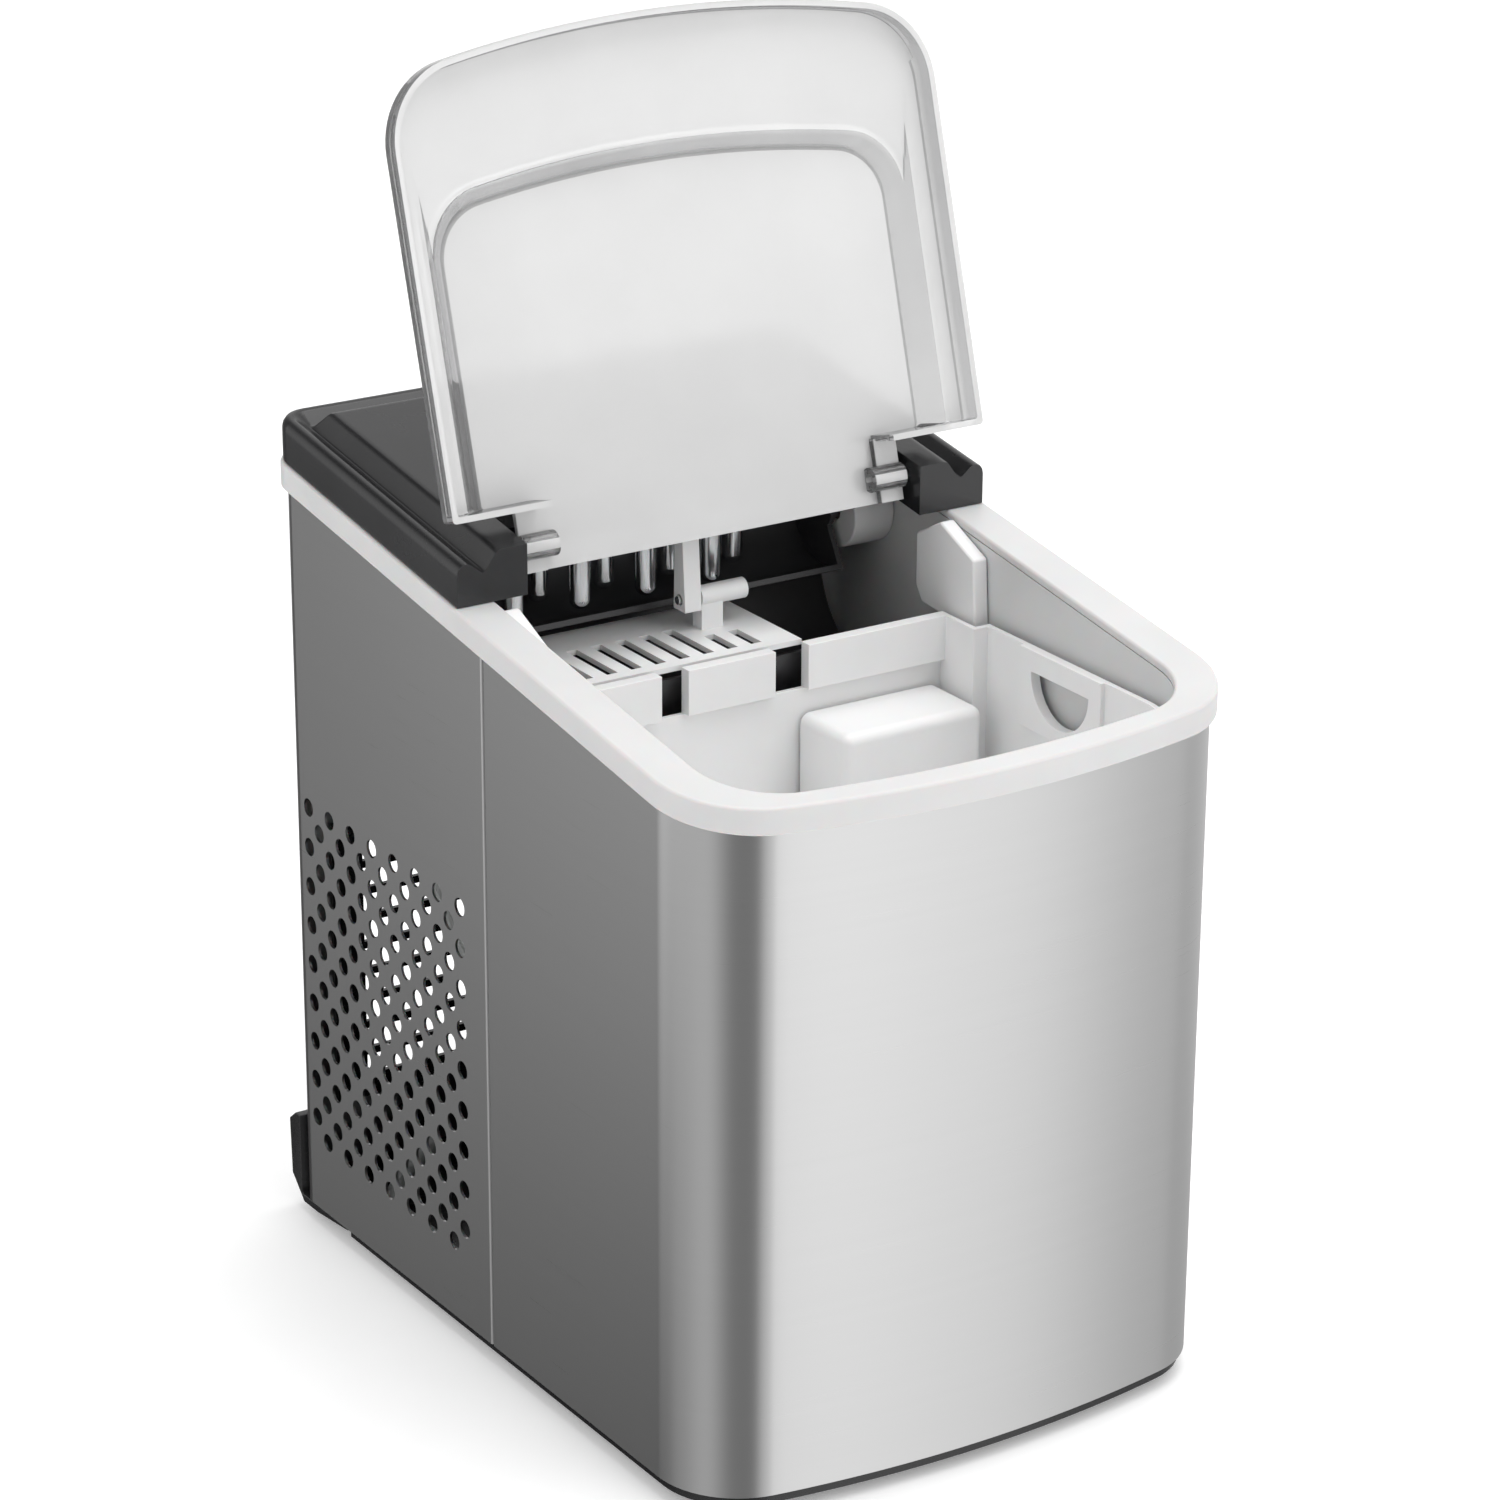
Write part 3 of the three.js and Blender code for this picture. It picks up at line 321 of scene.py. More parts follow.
# The clear lid's grey base colour is partly its tint and partly painted shade for its steep faces and step.
moulded_finish(
    "clear_lid", (0.56, 0.56, 0.56), (0.62, 0.62, 0.62), 0.02, 0.06, lift=0.01, Transmission_Weight=0.86, IOR=1.49,
)
# Painted shade where the clear lid is seen edge on.
paint_edge_on_shade("clear_lid", (0.16, 0.16, 0.17), 0.35)
moulded_finish(
    "milky_window", (0.79, 0.79, 0.79), (0.82, 0.82, 0.82), 0.16, 0.24, lift=0.01, Transmission_Weight=0.32, IOR=1.49,
)
moulded_finish("rubber", (0.012, 0.012, 0.012), (0.020, 0.020, 0.020), 0.62, 0.80, 700.0, 0.4)
moulded_finish("nickel", (0.66, 0.67, 0.68), (0.76, 0.77, 0.78), 0.10, 0.24, 400.0, 0.05, Metallic=1.0)
brushed_finish("aluminium", 0.30, 0.46, 0.62, 0.78, 0.08)
moulded_finish("black_enamel", (0.008, 0.008, 0.009), (0.014, 0.014, 0.015), 0.22, 0.36, 300.0, 0.3)
moulded_finish("copper", (0.60, 0.30, 0.18), (0.78, 0.44, 0.30), 0.22, 0.38, 300.0, 0.08, Metallic=1.0)
moulded_finish("silicone", (0.72, 0.74, 0.73), (0.80, 0.82, 0.81), 0.30, 0.42, lift=0.05, Transmission_Weight=0.35)
moulded_finish("board", (0.010, 0.075, 0.035), (0.018, 0.110, 0.055), 0.38, 0.50, 500.0, 0.2)
moulded_finish("lamp", (0.30, 0.52, 0.38), (0.38, 0.62, 0.46), 0.08, 0.16, lift=0.02, Transmission_Weight=0.4)
print(len(finishes), "finishes")

# %% [markdown]
# The floor is a plain pale sheet that runs well past the edges of the view. Metal does not mirror it: the steel then
# shows only the tones of the room, in clean upright bands, as it does between tall studio cards. A faint glow of its
# own keeps it near white.

# %% Floor
sheet = bmesh.new()
bmesh.ops.create_grid(sheet, x_segments=1, y_segments=1, size=9)
floor_mesh = bpy.data.meshes.new("floor")
sheet.to_mesh(floor_mesh)
sheet.free()
floor = bpy.data.objects.new("floor", floor_mesh)
bpy.context.scene.collection.objects.link(floor)
moulded_finish(
    "floor_paper", (0.93, 0.93, 0.93), (0.95, 0.95, 0.95), 0.75, 0.85, 60.0, 0.0, Emission_Color=(1, 1, 1, 1),
    Emission_Strength=0.22,
)
floor.data.materials.append(finishes["floor_paper"])
floor.visible_glossy = False

# %% [markdown]
# Most pieces start as an outline that is drawn with a turtle: a vertex is pulled along a straight line, or spun
# round a centre. The spin operator leaves the arc's edges behind it, so no list of points has to be worked out.

# %% Outline by spinning
finest_turn = math.radians(6)


def arc_steps(angle):
    return max(2, math.ceil(abs(angle) / finest_turn))


def draw(bm, start, moves, z=0.0, steps=arc_steps):
    """Draws lines (x, y) and arcs (x, y, angle) from start, and returns the edges."""
    before = set(bm.edges)
    tip = bm.verts.new((*start, z))
    for move in moves:
        if len(move) == 2:
            new = bmesh.ops.extrude_vert_indiv(bm, verts=[tip])["verts"][0]
            new.co = (*move, z)
        else:
            x, y, angle = move
            spun = bmesh.ops.spin(bm, geom=[tip], cent=(x, y, z), axis=(0, 0, 1), angle=angle, steps=steps(angle))
            new = [v for v in spun["geom_last"] if isinstance(v, bmesh.types.BMVert)][0]
        tip = new
    return [e for e in bm.edges if e not in before]


def loose_ends(edges):
    """The two ends of an open line."""
    return [v for v in {v for e in edges for v in e.verts} if len(v.link_edges) == 1]


def plan_moves(plan, inset=0.0):
    """The start and moves of a plan with a bowed front and four rounded corners, inset millimetres inside itself."""
    half, front, rear, bow, radius, back_radius = plan
    bow_radius = (half**2 + bow**2) / (2 * bow)
    bow_y = front + bow_radius
    side, back = half - inset, rear - inset
    turn, back_turn = max(radius - inset, 1), max(back_radius - inset, 1)
    turn_y = bow_y - math.sqrt((bow_radius - inset - turn) ** 2 - (side - turn) ** 2)
    left = math.atan2(turn_y - bow_y, turn - side) + 2 * math.pi
    right = math.atan2(turn_y - bow_y, side - turn) + 2 * math.pi
    moves = [
        (side - back_turn, back - back_turn, math.pi / 2), (back_turn - side, back),
        (back_turn - side, back - back_turn, math.pi / 2), (-side, turn_y),
        (turn - side, turn_y, left - math.pi), (0, bow_y, right - left),
        (side - turn, turn_y, 2 * math.pi - right),
    ]
    return (side, back - back_turn), moves


def ring(bm, plan, inset=0.0, z=0.0):
    """A closed outline of a plan, with the same number of steps whatever the inset."""
    start, moves = plan_moves(plan, inset)
    rear_corner, front_corner, bow = 8, 14, 24
    counts = iter([rear_corner, rear_corner, front_corner, bow, front_corner])
    edges = draw(bm, start, moves, z, lambda angle: next(counts))
    edges += bmesh.ops.contextual_create(bm, geom=loose_ends(edges))["edges"]
    return edges


body_plan = (108.75, -149, 149, 13, 32.2, 10)
mouth_plan = (94.6, -142, 92, 9, 28, 8)
test = bmesh.new()
print("one body outline has", len(ring(test, body_plan)), "edges")
test.free()

# %% [markdown]
# The collar's top rises towards the back, and the cover follows it. A solid is drawn level first. Then a shear,
# which lifts each point by a fixed share of its distance from the middle, gives the slope.

# %% Solids from outlines
slope, collar_height = 0.1532, 281.4
level = (False, False)
shear = Matrix(((1, 0, 0, 0), (0, 1, 0, 0), (0, slope, 1, collar_height), (0, 0, 0, 1)))


def keep(bm):
    """Closes a bmesh into an object in drawing millimetres, with its faces outwards."""
    bmesh.ops.recalc_face_normals(bm, faces=bm.faces[:])
    mesh = bpy.data.meshes.new("tool")
    bm.to_mesh(mesh)
    bm.free()
    piece = bpy.data.objects.new("tool", mesh)
    bpy.context.scene.collection.objects.link(piece)
    return piece


def slab(plan, low, high, inset=0.0, sloped=(True, True)):
    """A plan raised from low to high. A sloped end is counted from the collar's top instead of from the table."""
    bm = bmesh.new()
    face = bmesh.ops.contextual_create(bm, geom=ring(bm, plan, inset))["faces"]
    top = bmesh.ops.extrude_face_region(bm, geom=face)["geom"]
    top_verts = [v for v in top if isinstance(v, bmesh.types.BMVert)]
    bottom_verts = [v for v in bm.verts if v not in set(top_verts)]
    for verts, height, tilted in ((bottom_verts, low, sloped[0]), (top_verts, high, sloped[1])):
        bmesh.ops.translate(bm, verts=verts, vec=(0, 0, height))
        if tilted:
            bmesh.ops.transform(bm, verts=verts, matrix=shear)
    return keep(bm)


def block(x0, x1, y0, y1, z0, z1):
    bm = bmesh.new()
    middle = Matrix.Translation(((x0 + x1) / 2, (y0 + y1) / 2, (z0 + z1) / 2))
    bmesh.ops.create_cube(bm, size=1, matrix=middle @ Matrix.Diagonal((x1 - x0, y1 - y0, z1 - z0, 1)))
    return keep(bm)


def both_sides(x0, x1, *rest):
    """The same block on the left and on the right."""
    return [block(*sorted((side * x0, side * x1)), *rest) for side in (-1, 1)]


def rod(bm, radius, length, place, sides=32):
    bmesh.ops.create_cone(
        bm, cap_ends=True, segments=sides, radius1=radius, radius2=radius, depth=length, matrix=place,
    )


def bar(radius, a, b, sides=32):
    bm = bmesh.new()
    a, b = Vector(a), Vector(b)
    way = b - a
    place = Matrix.Translation((a + b) / 2) @ way.to_track_quat("Z", "Y").to_matrix().to_4x4()
    rod(bm, radius, way.length, place, sides)
    return keep(bm)


def axle(axis, radius, x0, x1):
    """A bar along X through an axis, which is given as (y, z)."""
    return bar(radius, (x0, *axis), (x1, *axis))


def along_x(start, moves, x0, x1, steps=arc_steps):
    """A profile drawn in Y and Z, carried along X."""
    turned = Matrix(((0, 0, 1, 0), (1, 0, 0, 0), (0, 1, 0, 0), (0, 0, 0, 1)))
    bm = bmesh.new()
    edges = draw(bm, start, moves, x0, steps)
    ends = loose_ends(edges)
    if ends:
        edges += bmesh.ops.contextual_create(bm, geom=ends)["edges"]
    face = bmesh.ops.contextual_create(bm, geom=edges)["faces"]
    top = bmesh.ops.extrude_face_region(bm, geom=face)["geom"]
    bmesh.ops.translate(bm, verts=[v for v in top if isinstance(v, bmesh.types.BMVert)], vec=(0, 0, x1 - x0))
    bmesh.ops.transform(bm, verts=bm.verts[:], matrix=turned)
    return keep(bm)


def skinned(rings, sloped=True):
    """A closed skin over outlines: each is (plan, inset, height), from the bottom up."""
    bm = bmesh.new()
    loops = [ring(bm, plan, inset, height) for plan, inset, height in rings]
    for low, high in zip(loops, loops[1:]):
        bmesh.ops.bridge_loops(bm, edges=low + high)
    for end in (loops[0], loops[-1]):
        bmesh.ops.contextual_create(bm, geom=end)
    if sloped:
        bmesh.ops.transform(bm, verts=bm.verts[:], matrix=shear)
    return keep(bm)


# %% [markdown]
# Solids are joined and cut with Boolean modifiers, which are applied at once. The finished piece gets its welded
# edges rounded, because a moulded edge is never sharp, and then moves from drawing millimetres to the frame. Overlaps
# are clamped, so one very short edge can hold the rounding of a whole piece back.

# %% Joining, cutting and finishing
def settle(piece):
    """Applies what the modifiers make."""
    made = bpy.data.meshes.new_from_object(piece.evaluated_get(bpy.context.evaluated_depsgraph_get()))
    old = piece.data
    piece.modifiers.clear()
    piece.data = made
    bpy.data.meshes.remove(old)


def combine(how, piece, tools):
    for tool in tools:
        step = piece.modifiers.new(how, "BOOLEAN")
        step.operation, step.object, step.solver = how, tool, "MANIFOLD"
    settle(piece)
    for tool in tools:
        mesh = tool.data
        bpy.data.objects.remove(tool)
        bpy.data.meshes.remove(mesh)
    return piece


def cut(piece, *tools):
    return combine("DIFFERENCE", piece, tools)


def join(piece, *tools):
    return combine("UNION", piece, tools)


def overlap(piece, *tools):
    return combine("INTERSECT", piece, tools)


body_of_node = {node: body for body, members in frame["record"]["behaviour"]["bodies"].items() for node in members}


def dress(piece, node, rounding=0.4, segments=2, crease=32, chosen=()):
    """Rounds a finished piece's edges, names it for the CAD node it stands for and gives it its finish.

    Each of chosen is (width, segments, test of an edge's middle) and is rounded before the rest."""
    piece.name = "shown_" + node
    piece.data.name = piece.name
    bm = bmesh.new()
    bm.from_mesh(piece.data)
    bmesh.ops.remove_doubles(bm, verts=bm.verts[:], dist=0.002)
    bmesh.ops.dissolve_limit(bm, angle_limit=math.radians(0.3), verts=bm.verts[:], edges=bm.edges[:])
    for width, steps, test in (*chosen, (rounding, segments, None)):
        sharp = [e for e in bm.edges if len(e.link_faces) == 2 and e.calc_face_angle(0) > math.radians(crease)]
        if test:
            sharp = [e for e in sharp if test((e.verts[0].co + e.verts[1].co) / 2)]
        if width and sharp:
            bmesh.ops.bevel(
                bm, geom=sharp, offset=width, offset_type="OFFSET", affect="EDGES", segments=steps, profile=0.5,
                material=-1, clamp_overlap=True,
            )
    bmesh.ops.transform(bm, verts=bm.verts[:], matrix=to_frame)
    bm.to_mesh(piece.data)
    bm.free()
    piece.data.shade_smooth()
    piece.data.set_sharp_from_angle(angle=math.radians(crease))
    weight = piece.modifiers.new("even_shading", "WEIGHTED_NORMAL")
    weight.keep_sharp = True
    piece.data.materials.clear()
    piece.data.materials.append(finishes[node_material[node]])
    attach(piece, body_of_node[node])
    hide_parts(node)
    print(piece.name, len(piece.data.polygons), "faces")
    return piece


# %% [markdown]
# The front wrap is one bent sheet: down one side, round the bowed front and up the other side. Its outline is an
# open line, pulled up into a wall. The two rear edges are folded in by a small arc, so that the seam catches light.

# %% Front steel wrap
seam_y, seam_half_gap, fold = 2.5, 0.3, 0.9
sheet_foot, sheet_top, sheet_thickness = 8.0, -3.3, 1.0


def wrap(edges_of):
    """A bent sheet: an open outline pulled up to just under the collar's flange, then thickened inwards."""
    bm = bmesh.new()
    edges = edges_of(bm)
    up = bmesh.ops.extrude_edge_only(bm, edges=edges)["geom"]
    top = [v for v in up if isinstance(v, bmesh.types.BMVert)]
    bottom = [v for v in bm.verts if v not in set(top)]
    bmesh.ops.translate(bm, verts=bottom, vec=(0, 0, sheet_foot))
    bmesh.ops.translate(bm, verts=top, vec=(0, 0, sheet_top))
    bmesh.ops.transform(bm, verts=top, matrix=shear)
    piece = keep(bm)
    if piece.data.polygons[0].normal.dot(piece.data.polygons[0].center) < 0:
        piece.data.flip_normals()
    wall = piece.modifiers.new("sheet", "SOLIDIFY")
    wall.thickness, wall.offset, wall.use_even_offset = sheet_thickness, -1, True
    settle(piece)
    return piece


def front_outline(bm):
    _, moves = plan_moves(body_plan)
    side, edge = body_plan[0], seam_y - seam_half_gap
    bow_steps, bow_limit = 40, 0.6
    path = [
        (fold - side, edge - fold, math.pi / 2), *moves[3:], (side, edge - fold),
        (side - fold, edge - fold, math.pi / 2),
    ]
    return draw(
        bm, (fold - side, edge), path, 0.0,
        lambda angle: bow_steps if abs(angle) < bow_limit else max(4, arc_steps(angle)),
    )


dress(wrap(front_outline), "front_shell", rounding=0, crease=50)


# %% [markdown]
# The rear wrap goes round the back of the machine. Its sides carry a field of round vents, each column half a step
# below the last, so air reaches the fan. One bar through both sides makes a pair of vents, and all the bars together
# are a single tool. The back has a wide window behind the grille and holes for the mains inlet and the drain.

# %% Rear steel wrap
def rear_outline(bm):
    side, _, back, _, _, turn = body_plan
    edge = seam_y + seam_half_gap
    return draw(bm, (side - fold, edge), [
        (side - fold, edge + fold, math.pi / 2), (side, back - turn), (side - turn, back - turn, math.pi / 2),
        (turn - side, back), (turn - side, back - turn, math.pi / 2), (-side, edge + fold),
        (fold - side, edge + fold, math.pi / 2),
    ], 0.0, lambda angle: 8)


def vent_bars():
    bm = bmesh.new()
    lie = Matrix.Rotation(math.pi / 2, 4, "Y")
    columns, rows, across, down = 15, 9, 8, 15.7
    for column in range(columns):
        for row in range(rows):
            place = Matrix.Translation((0, 21 + across * column, 172 - down * (row + (column % 2) / 2)))
            rod(bm, 3.5, 240, place @ lie, 20)
    return keep(bm)


def drain_bar(radius, y0, y1, sides=32):
    return bar(radius, (drain_x, y0, drain_z), (drain_x, y1, drain_z), sides)


inlet_x, inlet_z, drain_x, drain_z = 62, 30, -62, 28
rear_wrap = cut(
    wrap(rear_outline), vent_bars(), block(-88, 88, 145, 160, 48, 152),
    block(inlet_x - 15, inlet_x + 15, 145, 160, inlet_z - 11, inlet_z + 11), drain_bar(7.3, 145, 160),
)
dress(rear_wrap, "rear_shell", rounding=0, crease=50)

# %% [markdown]
# The collar is the milky rim that joins the steel to everything inside. It overhangs the steel with a lip, and its
# upper edges are generously rounded, which gives the soft bright line round the top. Only those edges get the large
# radius. The lip is barely two millimetres thick, so its lower edges get a small one.

# %% Collar
def up_slope(point):
    """Height of a point above the collar's sloping top."""
    return point.z - collar_height - slope * point.y


collar = cut(
    slab(body_plan, -9.4, 0, inset=-2.46), slab(body_plan, -14, -3, inset=-0.3),
    slab(mouth_plan, -300, 100, sloped=(False, True)), block(-86, 86, 106, 138, 100, 400),
)
dress(collar, "collar", rounding=0.35, chosen=[(1.9, 5, lambda p: up_slope(p) > -0.1)])

# %% [markdown]
# The tub is one moulding with three rooms: a wide one for the basket, a narrower tank under it and a shallow
# chamber at the back under the fingers. The same rooms, drawn two millimetres larger, give the outside of the wall,
# so the wall is even everywhere.

# %% Inner tub
def rooms(grow, drop):
    def upper():
        return slab(mouth_plan, 189.7 - drop, 400, -grow, level)

    lower = slab(mouth_plan, 70 - drop, 400, 8 - grow, level)
    wide = overlap(upper(), block(-200, 200, -300, 8.9 + grow, 0, 400))
    tank = overlap(lower, block(-200, 200, -300, 0.9 + grow, 0, 400))
    chamber = overlap(upper(), block(-200, 200, -300, 300, 209.2 - drop, 400))
    return join(wide, tank, chamber)


spouts = [(-66, -16), (-40, -20)]
tub = cut(rooms(2, 2), rooms(0, 0), slab(body_plan, -3.3, 200, -20))
tub = join(tub, *[bar(5, (x, y, 58), (x, y, 69)) for x, y in spouts])
tub = cut(tub, *[bar(3.4, (x, y, 57), (x, y, 71)) for x, y in spouts])
dress(tub, "inner_tub", rounding=0.5, segments=3)

# %% [markdown]
# The basket lifts out. It has a thick lip at the back that the ice slides over, with two notches that let the shovel
# pass, cut-away rear corners under the sensors, a half-moon finger grip in each side and slots in the floor for
# melt water. A raised step stands against its rear wall, and its edges get a wide rounding before the others.

# %% Ice basket
basket_plan = (94.6, -142, 8.9, 9, 28, 8)


def corners(wall):
    return both_sides(86 - wall, 300, -14 - wall, 300, 0, 400)


def on_step(p):
    return 21 < p.x < 83 and -27 < p.y < 2 and 192.5 < p.z < 225


outer = cut(slab(basket_plan, 190, 250, 2.4, level), *corners(0))
inner = cut(slab(basket_plan, 192.2, 300, 4.6, level), *corners(2.2))
basket = join(cut(outer, inner), block(-85, 85, 1.5, 5.5, 233, 250), *both_sides(88.2, 91.2, -86, -38, 220, 250))
basket = join(basket, block(22, 82, -26, 3, 191, 224))
grip = along_x((-79, 242), [(-62, 242, math.pi)], -300, 300)
drain_half = 1.5
basket = cut(
    basket, grip, *[block(x0, x1, -2.5, 300, 233, 400) for x0, x1 in ((-37, -26), (10.5, 24.5))],
    *[block(x - drain_half, x + drain_half, -105, -30, 0, 198) for x in range(-60, 61, 20)],
)
dress(basket, "ice_basket", rounding=0.55, segments=3, chosen=[(4, 5, on_step)])

# %% [markdown]
# Under the fingers lies a half-round trough that catches what the tray tips out. It is dark, so the steel-bright
# fingers stand out before it. The tray itself is a smaller trough with closed ends that turns about its own axis.

# %% Drip trough and water tray
trough_y, trough_r, chamber_floor = 49.85, 40.75, 209.2
trough_z = chamber_floor + 0.3 + trough_r
half_turn = math.pi
trough_rear, trough_top = trough_y + trough_r, trough_z + 28
trough = along_x(
    (trough_rear, trough_top),
    [(trough_rear - 2, trough_top), (trough_rear - 2, trough_z), (trough_y, trough_z, -half_turn),
     (trough_y - trough_r, trough_z), (trough_y, trough_z, half_turn)],
    -87.5, 87.5, lambda angle: 36,
)
pump_well = block(-9, 9, trough_y - 9, trough_y + 9, 0, trough_z - trough_r + 6)
trough = cut(trough, block(-200, 200, 0, 11.5, 245, 400), pump_well)
dress(trough, "drip_trough", rounding=0.4)

tray_y, tray_z, tray_tip = 64, 274, math.radians(60)
tray_axis = (tray_y, tray_z)


def arc_point(radius, angle):
    return (tray_y + radius * math.cos(angle), tray_z + radius * math.sin(angle))


def half_round(outside, x0, x1, inside=0):
    first = half_turn + tray_tip
    moves = [(tray_y, tray_z, half_turn)]
    if inside:
        moves += [arc_point(inside, first + half_turn), (tray_y, tray_z, -half_turn)]
    return along_x(arc_point(outside, first), moves, x0, x1, lambda angle: 36)


tray = join(
    half_round(22, -84, 74, 20), half_round(21.5, -84, -82), half_round(21.5, 72, 74),
    *[axle(tray_axis, *span) for span in ((5, -84, -82), (5, 72, 74), (3, -89, -83), (3, 73, 80))],
)
dress(tray, "water_tray", rounding=0.3)
bearing = cut(block(-94.3, -84.6, 56, 72, 265, 282), axle(tray_axis, 3.3, -90, -83))
dress(bearing, "tray_bearing", rounding=0.8, segments=3)
motor = cut(axle(tray_axis, 14, 77, 94.3), axle(tray_axis, 3.3, 76, 81))
dress(motor, "tray_motor", rounding=1.0, segments=3)

# %% [markdown]
# Ice grows round eight plated fingers that hang from a cold block in two rows. A finger's end is half a ball,
# so that the finished ice slips off. Each finger is a bar whose lower edge is bevelled almost to its middle.

# %% Evaporator and its support
def finger(x, y):
    bm = bmesh.new()
    rod(bm, 3.95, 23, Matrix.Translation((x, y, 270.5)))
    tip = [e for e in bm.edges if all(v.co.z < 260 for v in e.verts)]
    bmesh.ops.bevel(
        bm, geom=tip, offset=3.6, offset_type="OFFSET", affect="EDGES", segments=7, profile=0.5, material=-1,
    )
    return keep(bm)


fingers = [finger(-64.6 + 27.6 * i + 18.4 * row, tray_y + 14 * (row - 0.5)) for row in (0, 1) for i in range(4)]
support_low = collar_height + slope * 104 + 0.3
cold_block = join(
    block(-71.6, 44.6, 53, 75, 281, 287), *fingers,
    *[block(x - 5, x + 5, 60, 68, 286, support_low - 0.3) for x in (-48, 8)],
    *[bar(3.4, (x, tray_y, 286), (x, tray_y, 290)) for x in (30, 38)],
)
dress(cold_block, "evaporator", rounding=0.4)

pivot_z = 262
pivot_axis = (38, pivot_z)
hanger = along_x((34, 258), [(42, 258), (41, support_low + 1), (37, support_low + 1)], -7, 0)
support = join(
    block(-58, 18, 58, 104, support_low, support_low + 2), block(-7, 0, 37, 64, support_low, support_low + 2), hanger,
)
dress(cut(support, axle(pivot_axis, 2, -20, 20)), "evaporator_support", rounding=0.5, segments=3)

# %% [markdown]
# The shovel pushes the finished ice off its slotted plate into the basket. A row of long slots and two short ones
# lets the water run back through. It hangs on a barrel with a steel pin through it.

# %% Ice shovel and sensors
plate = join(
    block(-87, 26, 8.5, 60, 248, 250), block(0.6, 9.6, 35, 41, 249, pivot_z),
    axle(pivot_axis, 3.8, 0.6, 20), block(-87, -85, 8.5, 46, 249, 255),
)
slot_half, slot_start = 2.2, 13.5
slots = [(x, 28) for x in range(-10, -81, -10)] + [(0, 16), (10, 16)]
plate = cut(
    plate, *[block(x - slot_half, x + slot_half, slot_start, slot_start + long, 0, 400) for x, long in slots],
    axle(pivot_axis, 2, 0, 21),
)
dress(plate, "ice_shovel", rounding=0.35)

sensor = [(12, 282), (-9, 273), (-11, 245), (23, 248), (27, 254)]
dress(along_x((27, 274), sensor, -94.3, -88), "ice_sensor_left", rounding=1.0, segments=3)
dress(along_x((27, 274), sensor, 88, 94.3), "ice_sensor_right", rounding=1.0, segments=3)

# %% [markdown]
# The rear cover is a dark shell with a raised rim, a groove that runs all the way round and a raised island in the
# middle. Two arms reach forward over the collar and hold the lid's hinge pins. Outlines at rising and falling heights,
# skinned together, give the whole upper surface in one step, with the rim, groove and island softly rounded.

# %% Rear cover
cover_plan = (109.9, -29.6, 151.5, 8, 2, 12)
cover_steps = [
    (0, 0.3), (0, 11.6), (0.35, 13.3), (1.3, 14.7), (2.7, 15.4), (4.0, 15.5), (5.2, 15.1), (9.3, 12.0), (9.9, 11.65),
    (10.4, 11.6), (10.8, 11.7), (11.3, 12.1), (15.0, 17.2), (15.8, 18.2), (17.0, 18.65), (18.4, 18.7),
]
cover = skinned([(cover_plan, inset, height) for inset, height in cover_steps])
hollow = join(slab(cover_plan, -5, 9, 2.5), slab(cover_plan, -5, 16.2, 18.1))
hollow = overlap(hollow, block(-300, 300, 44.5, 300, 0, 500))
hinge_axis = (25.4, 297.8)
panel_y = 79


def oval(half_x, half_y, low, high):
    bm = bmesh.new()
    bmesh.ops.create_circle(bm, segments=72, radius=1, cap_ends=True)
    stretch = Matrix.Translation((0, panel_y, 0)) @ Matrix.Diagonal((half_x, half_y, 1, 1))
    bmesh.ops.transform(bm, verts=bm.verts[:], matrix=stretch)
    top = bmesh.ops.extrude_face_region(bm, geom=bm.faces[:])["geom"]
    bmesh.ops.translate(bm, verts=[v for v in bm.verts if v not in top], vec=(0, 0, low))
    bmesh.ops.translate(bm, verts=[v for v in top if isinstance(v, bmesh.types.BMVert)], vec=(0, 0, high))
    bmesh.ops.transform(bm, verts=bm.verts[:], matrix=shear)
    return keep(bm)


def on_panel(radius, x, low, high):
    """An upright peg through the panel, cut to the slope at both ends."""
    base = collar_height + slope * panel_y
    return overlap(bar(radius, (x, panel_y, base - 20), (x, panel_y, base + 60)), oval(90, 60, low, high))


shell = cut(overlap(cover, block(-300, 300, 16.5, 300, 0, 500)), hollow, block(-82, 82, -100, 42, 0, 500))
shell = cut(
    shell, overlap(block(-78, 78, 41, 45.5, 0, 500), slab(cover_plan, -5, 12.2)),
    *[axle(hinge_axis, 2.3, *span) for span in ((-93, -70), (70, 93))], oval(64.3, 19.3, 17.2, 60),
    *[on_panel(6.3, x, -5, 60) for x in (-12, 12)],
)
dress(shell, "rear_cover", rounding=0.45, segments=3)

# %% [markdown]
# The panel is a glossy oval let into the island, with two round keys and four small lamps.

# %% Control panel
lamps_x = (-50, -38, 38, 50)
panel = cut(
    oval(64, 19, 17.5, 19.3), *[on_panel(6.3, x, 0, 40) for x in (-12, 12)],
    *[on_panel(2.3, x, 0, 40) for x in lamps_x],
)
dress(panel, "control_panel", rounding=0.25)
for key, x in {"power_button": -12, "select_button": 12}.items():
    dress(on_panel(6, x, 15.7, 20.5), key, rounding=0.5, segments=4)
for number, x in enumerate(lamps_x, 1):
    dress(on_panel(2, x, 17.5, 19.7), f"indicator_lamp_{number}", rounding=0.4, segments=4)

# %% [markdown]
# The lid is one clear moulding: a thin upright rim, a gentle slope, a short steep step and a flat window. It is drawn
# closed, about its own hinge axis, as a skin over rising outlines, and the same skin moved inwards is taken out of it.
# Then it is turned to its open stop. Its flat parts, which are the window, the slope and the tongue, are milkier than
# the rest. They are found by how level they lie in the closed lid.

# %% Lid
rim, lid_half, lid_length, lid_wall = -12.06, 110.3, 176.4, 2.2
window_top = rim + 17.1
open_angle = math.radians(114.7)


def lid_plan(half_width, tip, radius):
    return (half_width, -tip, -13.4, 13 * (half_width / lid_half) ** 2, radius, 1.5)


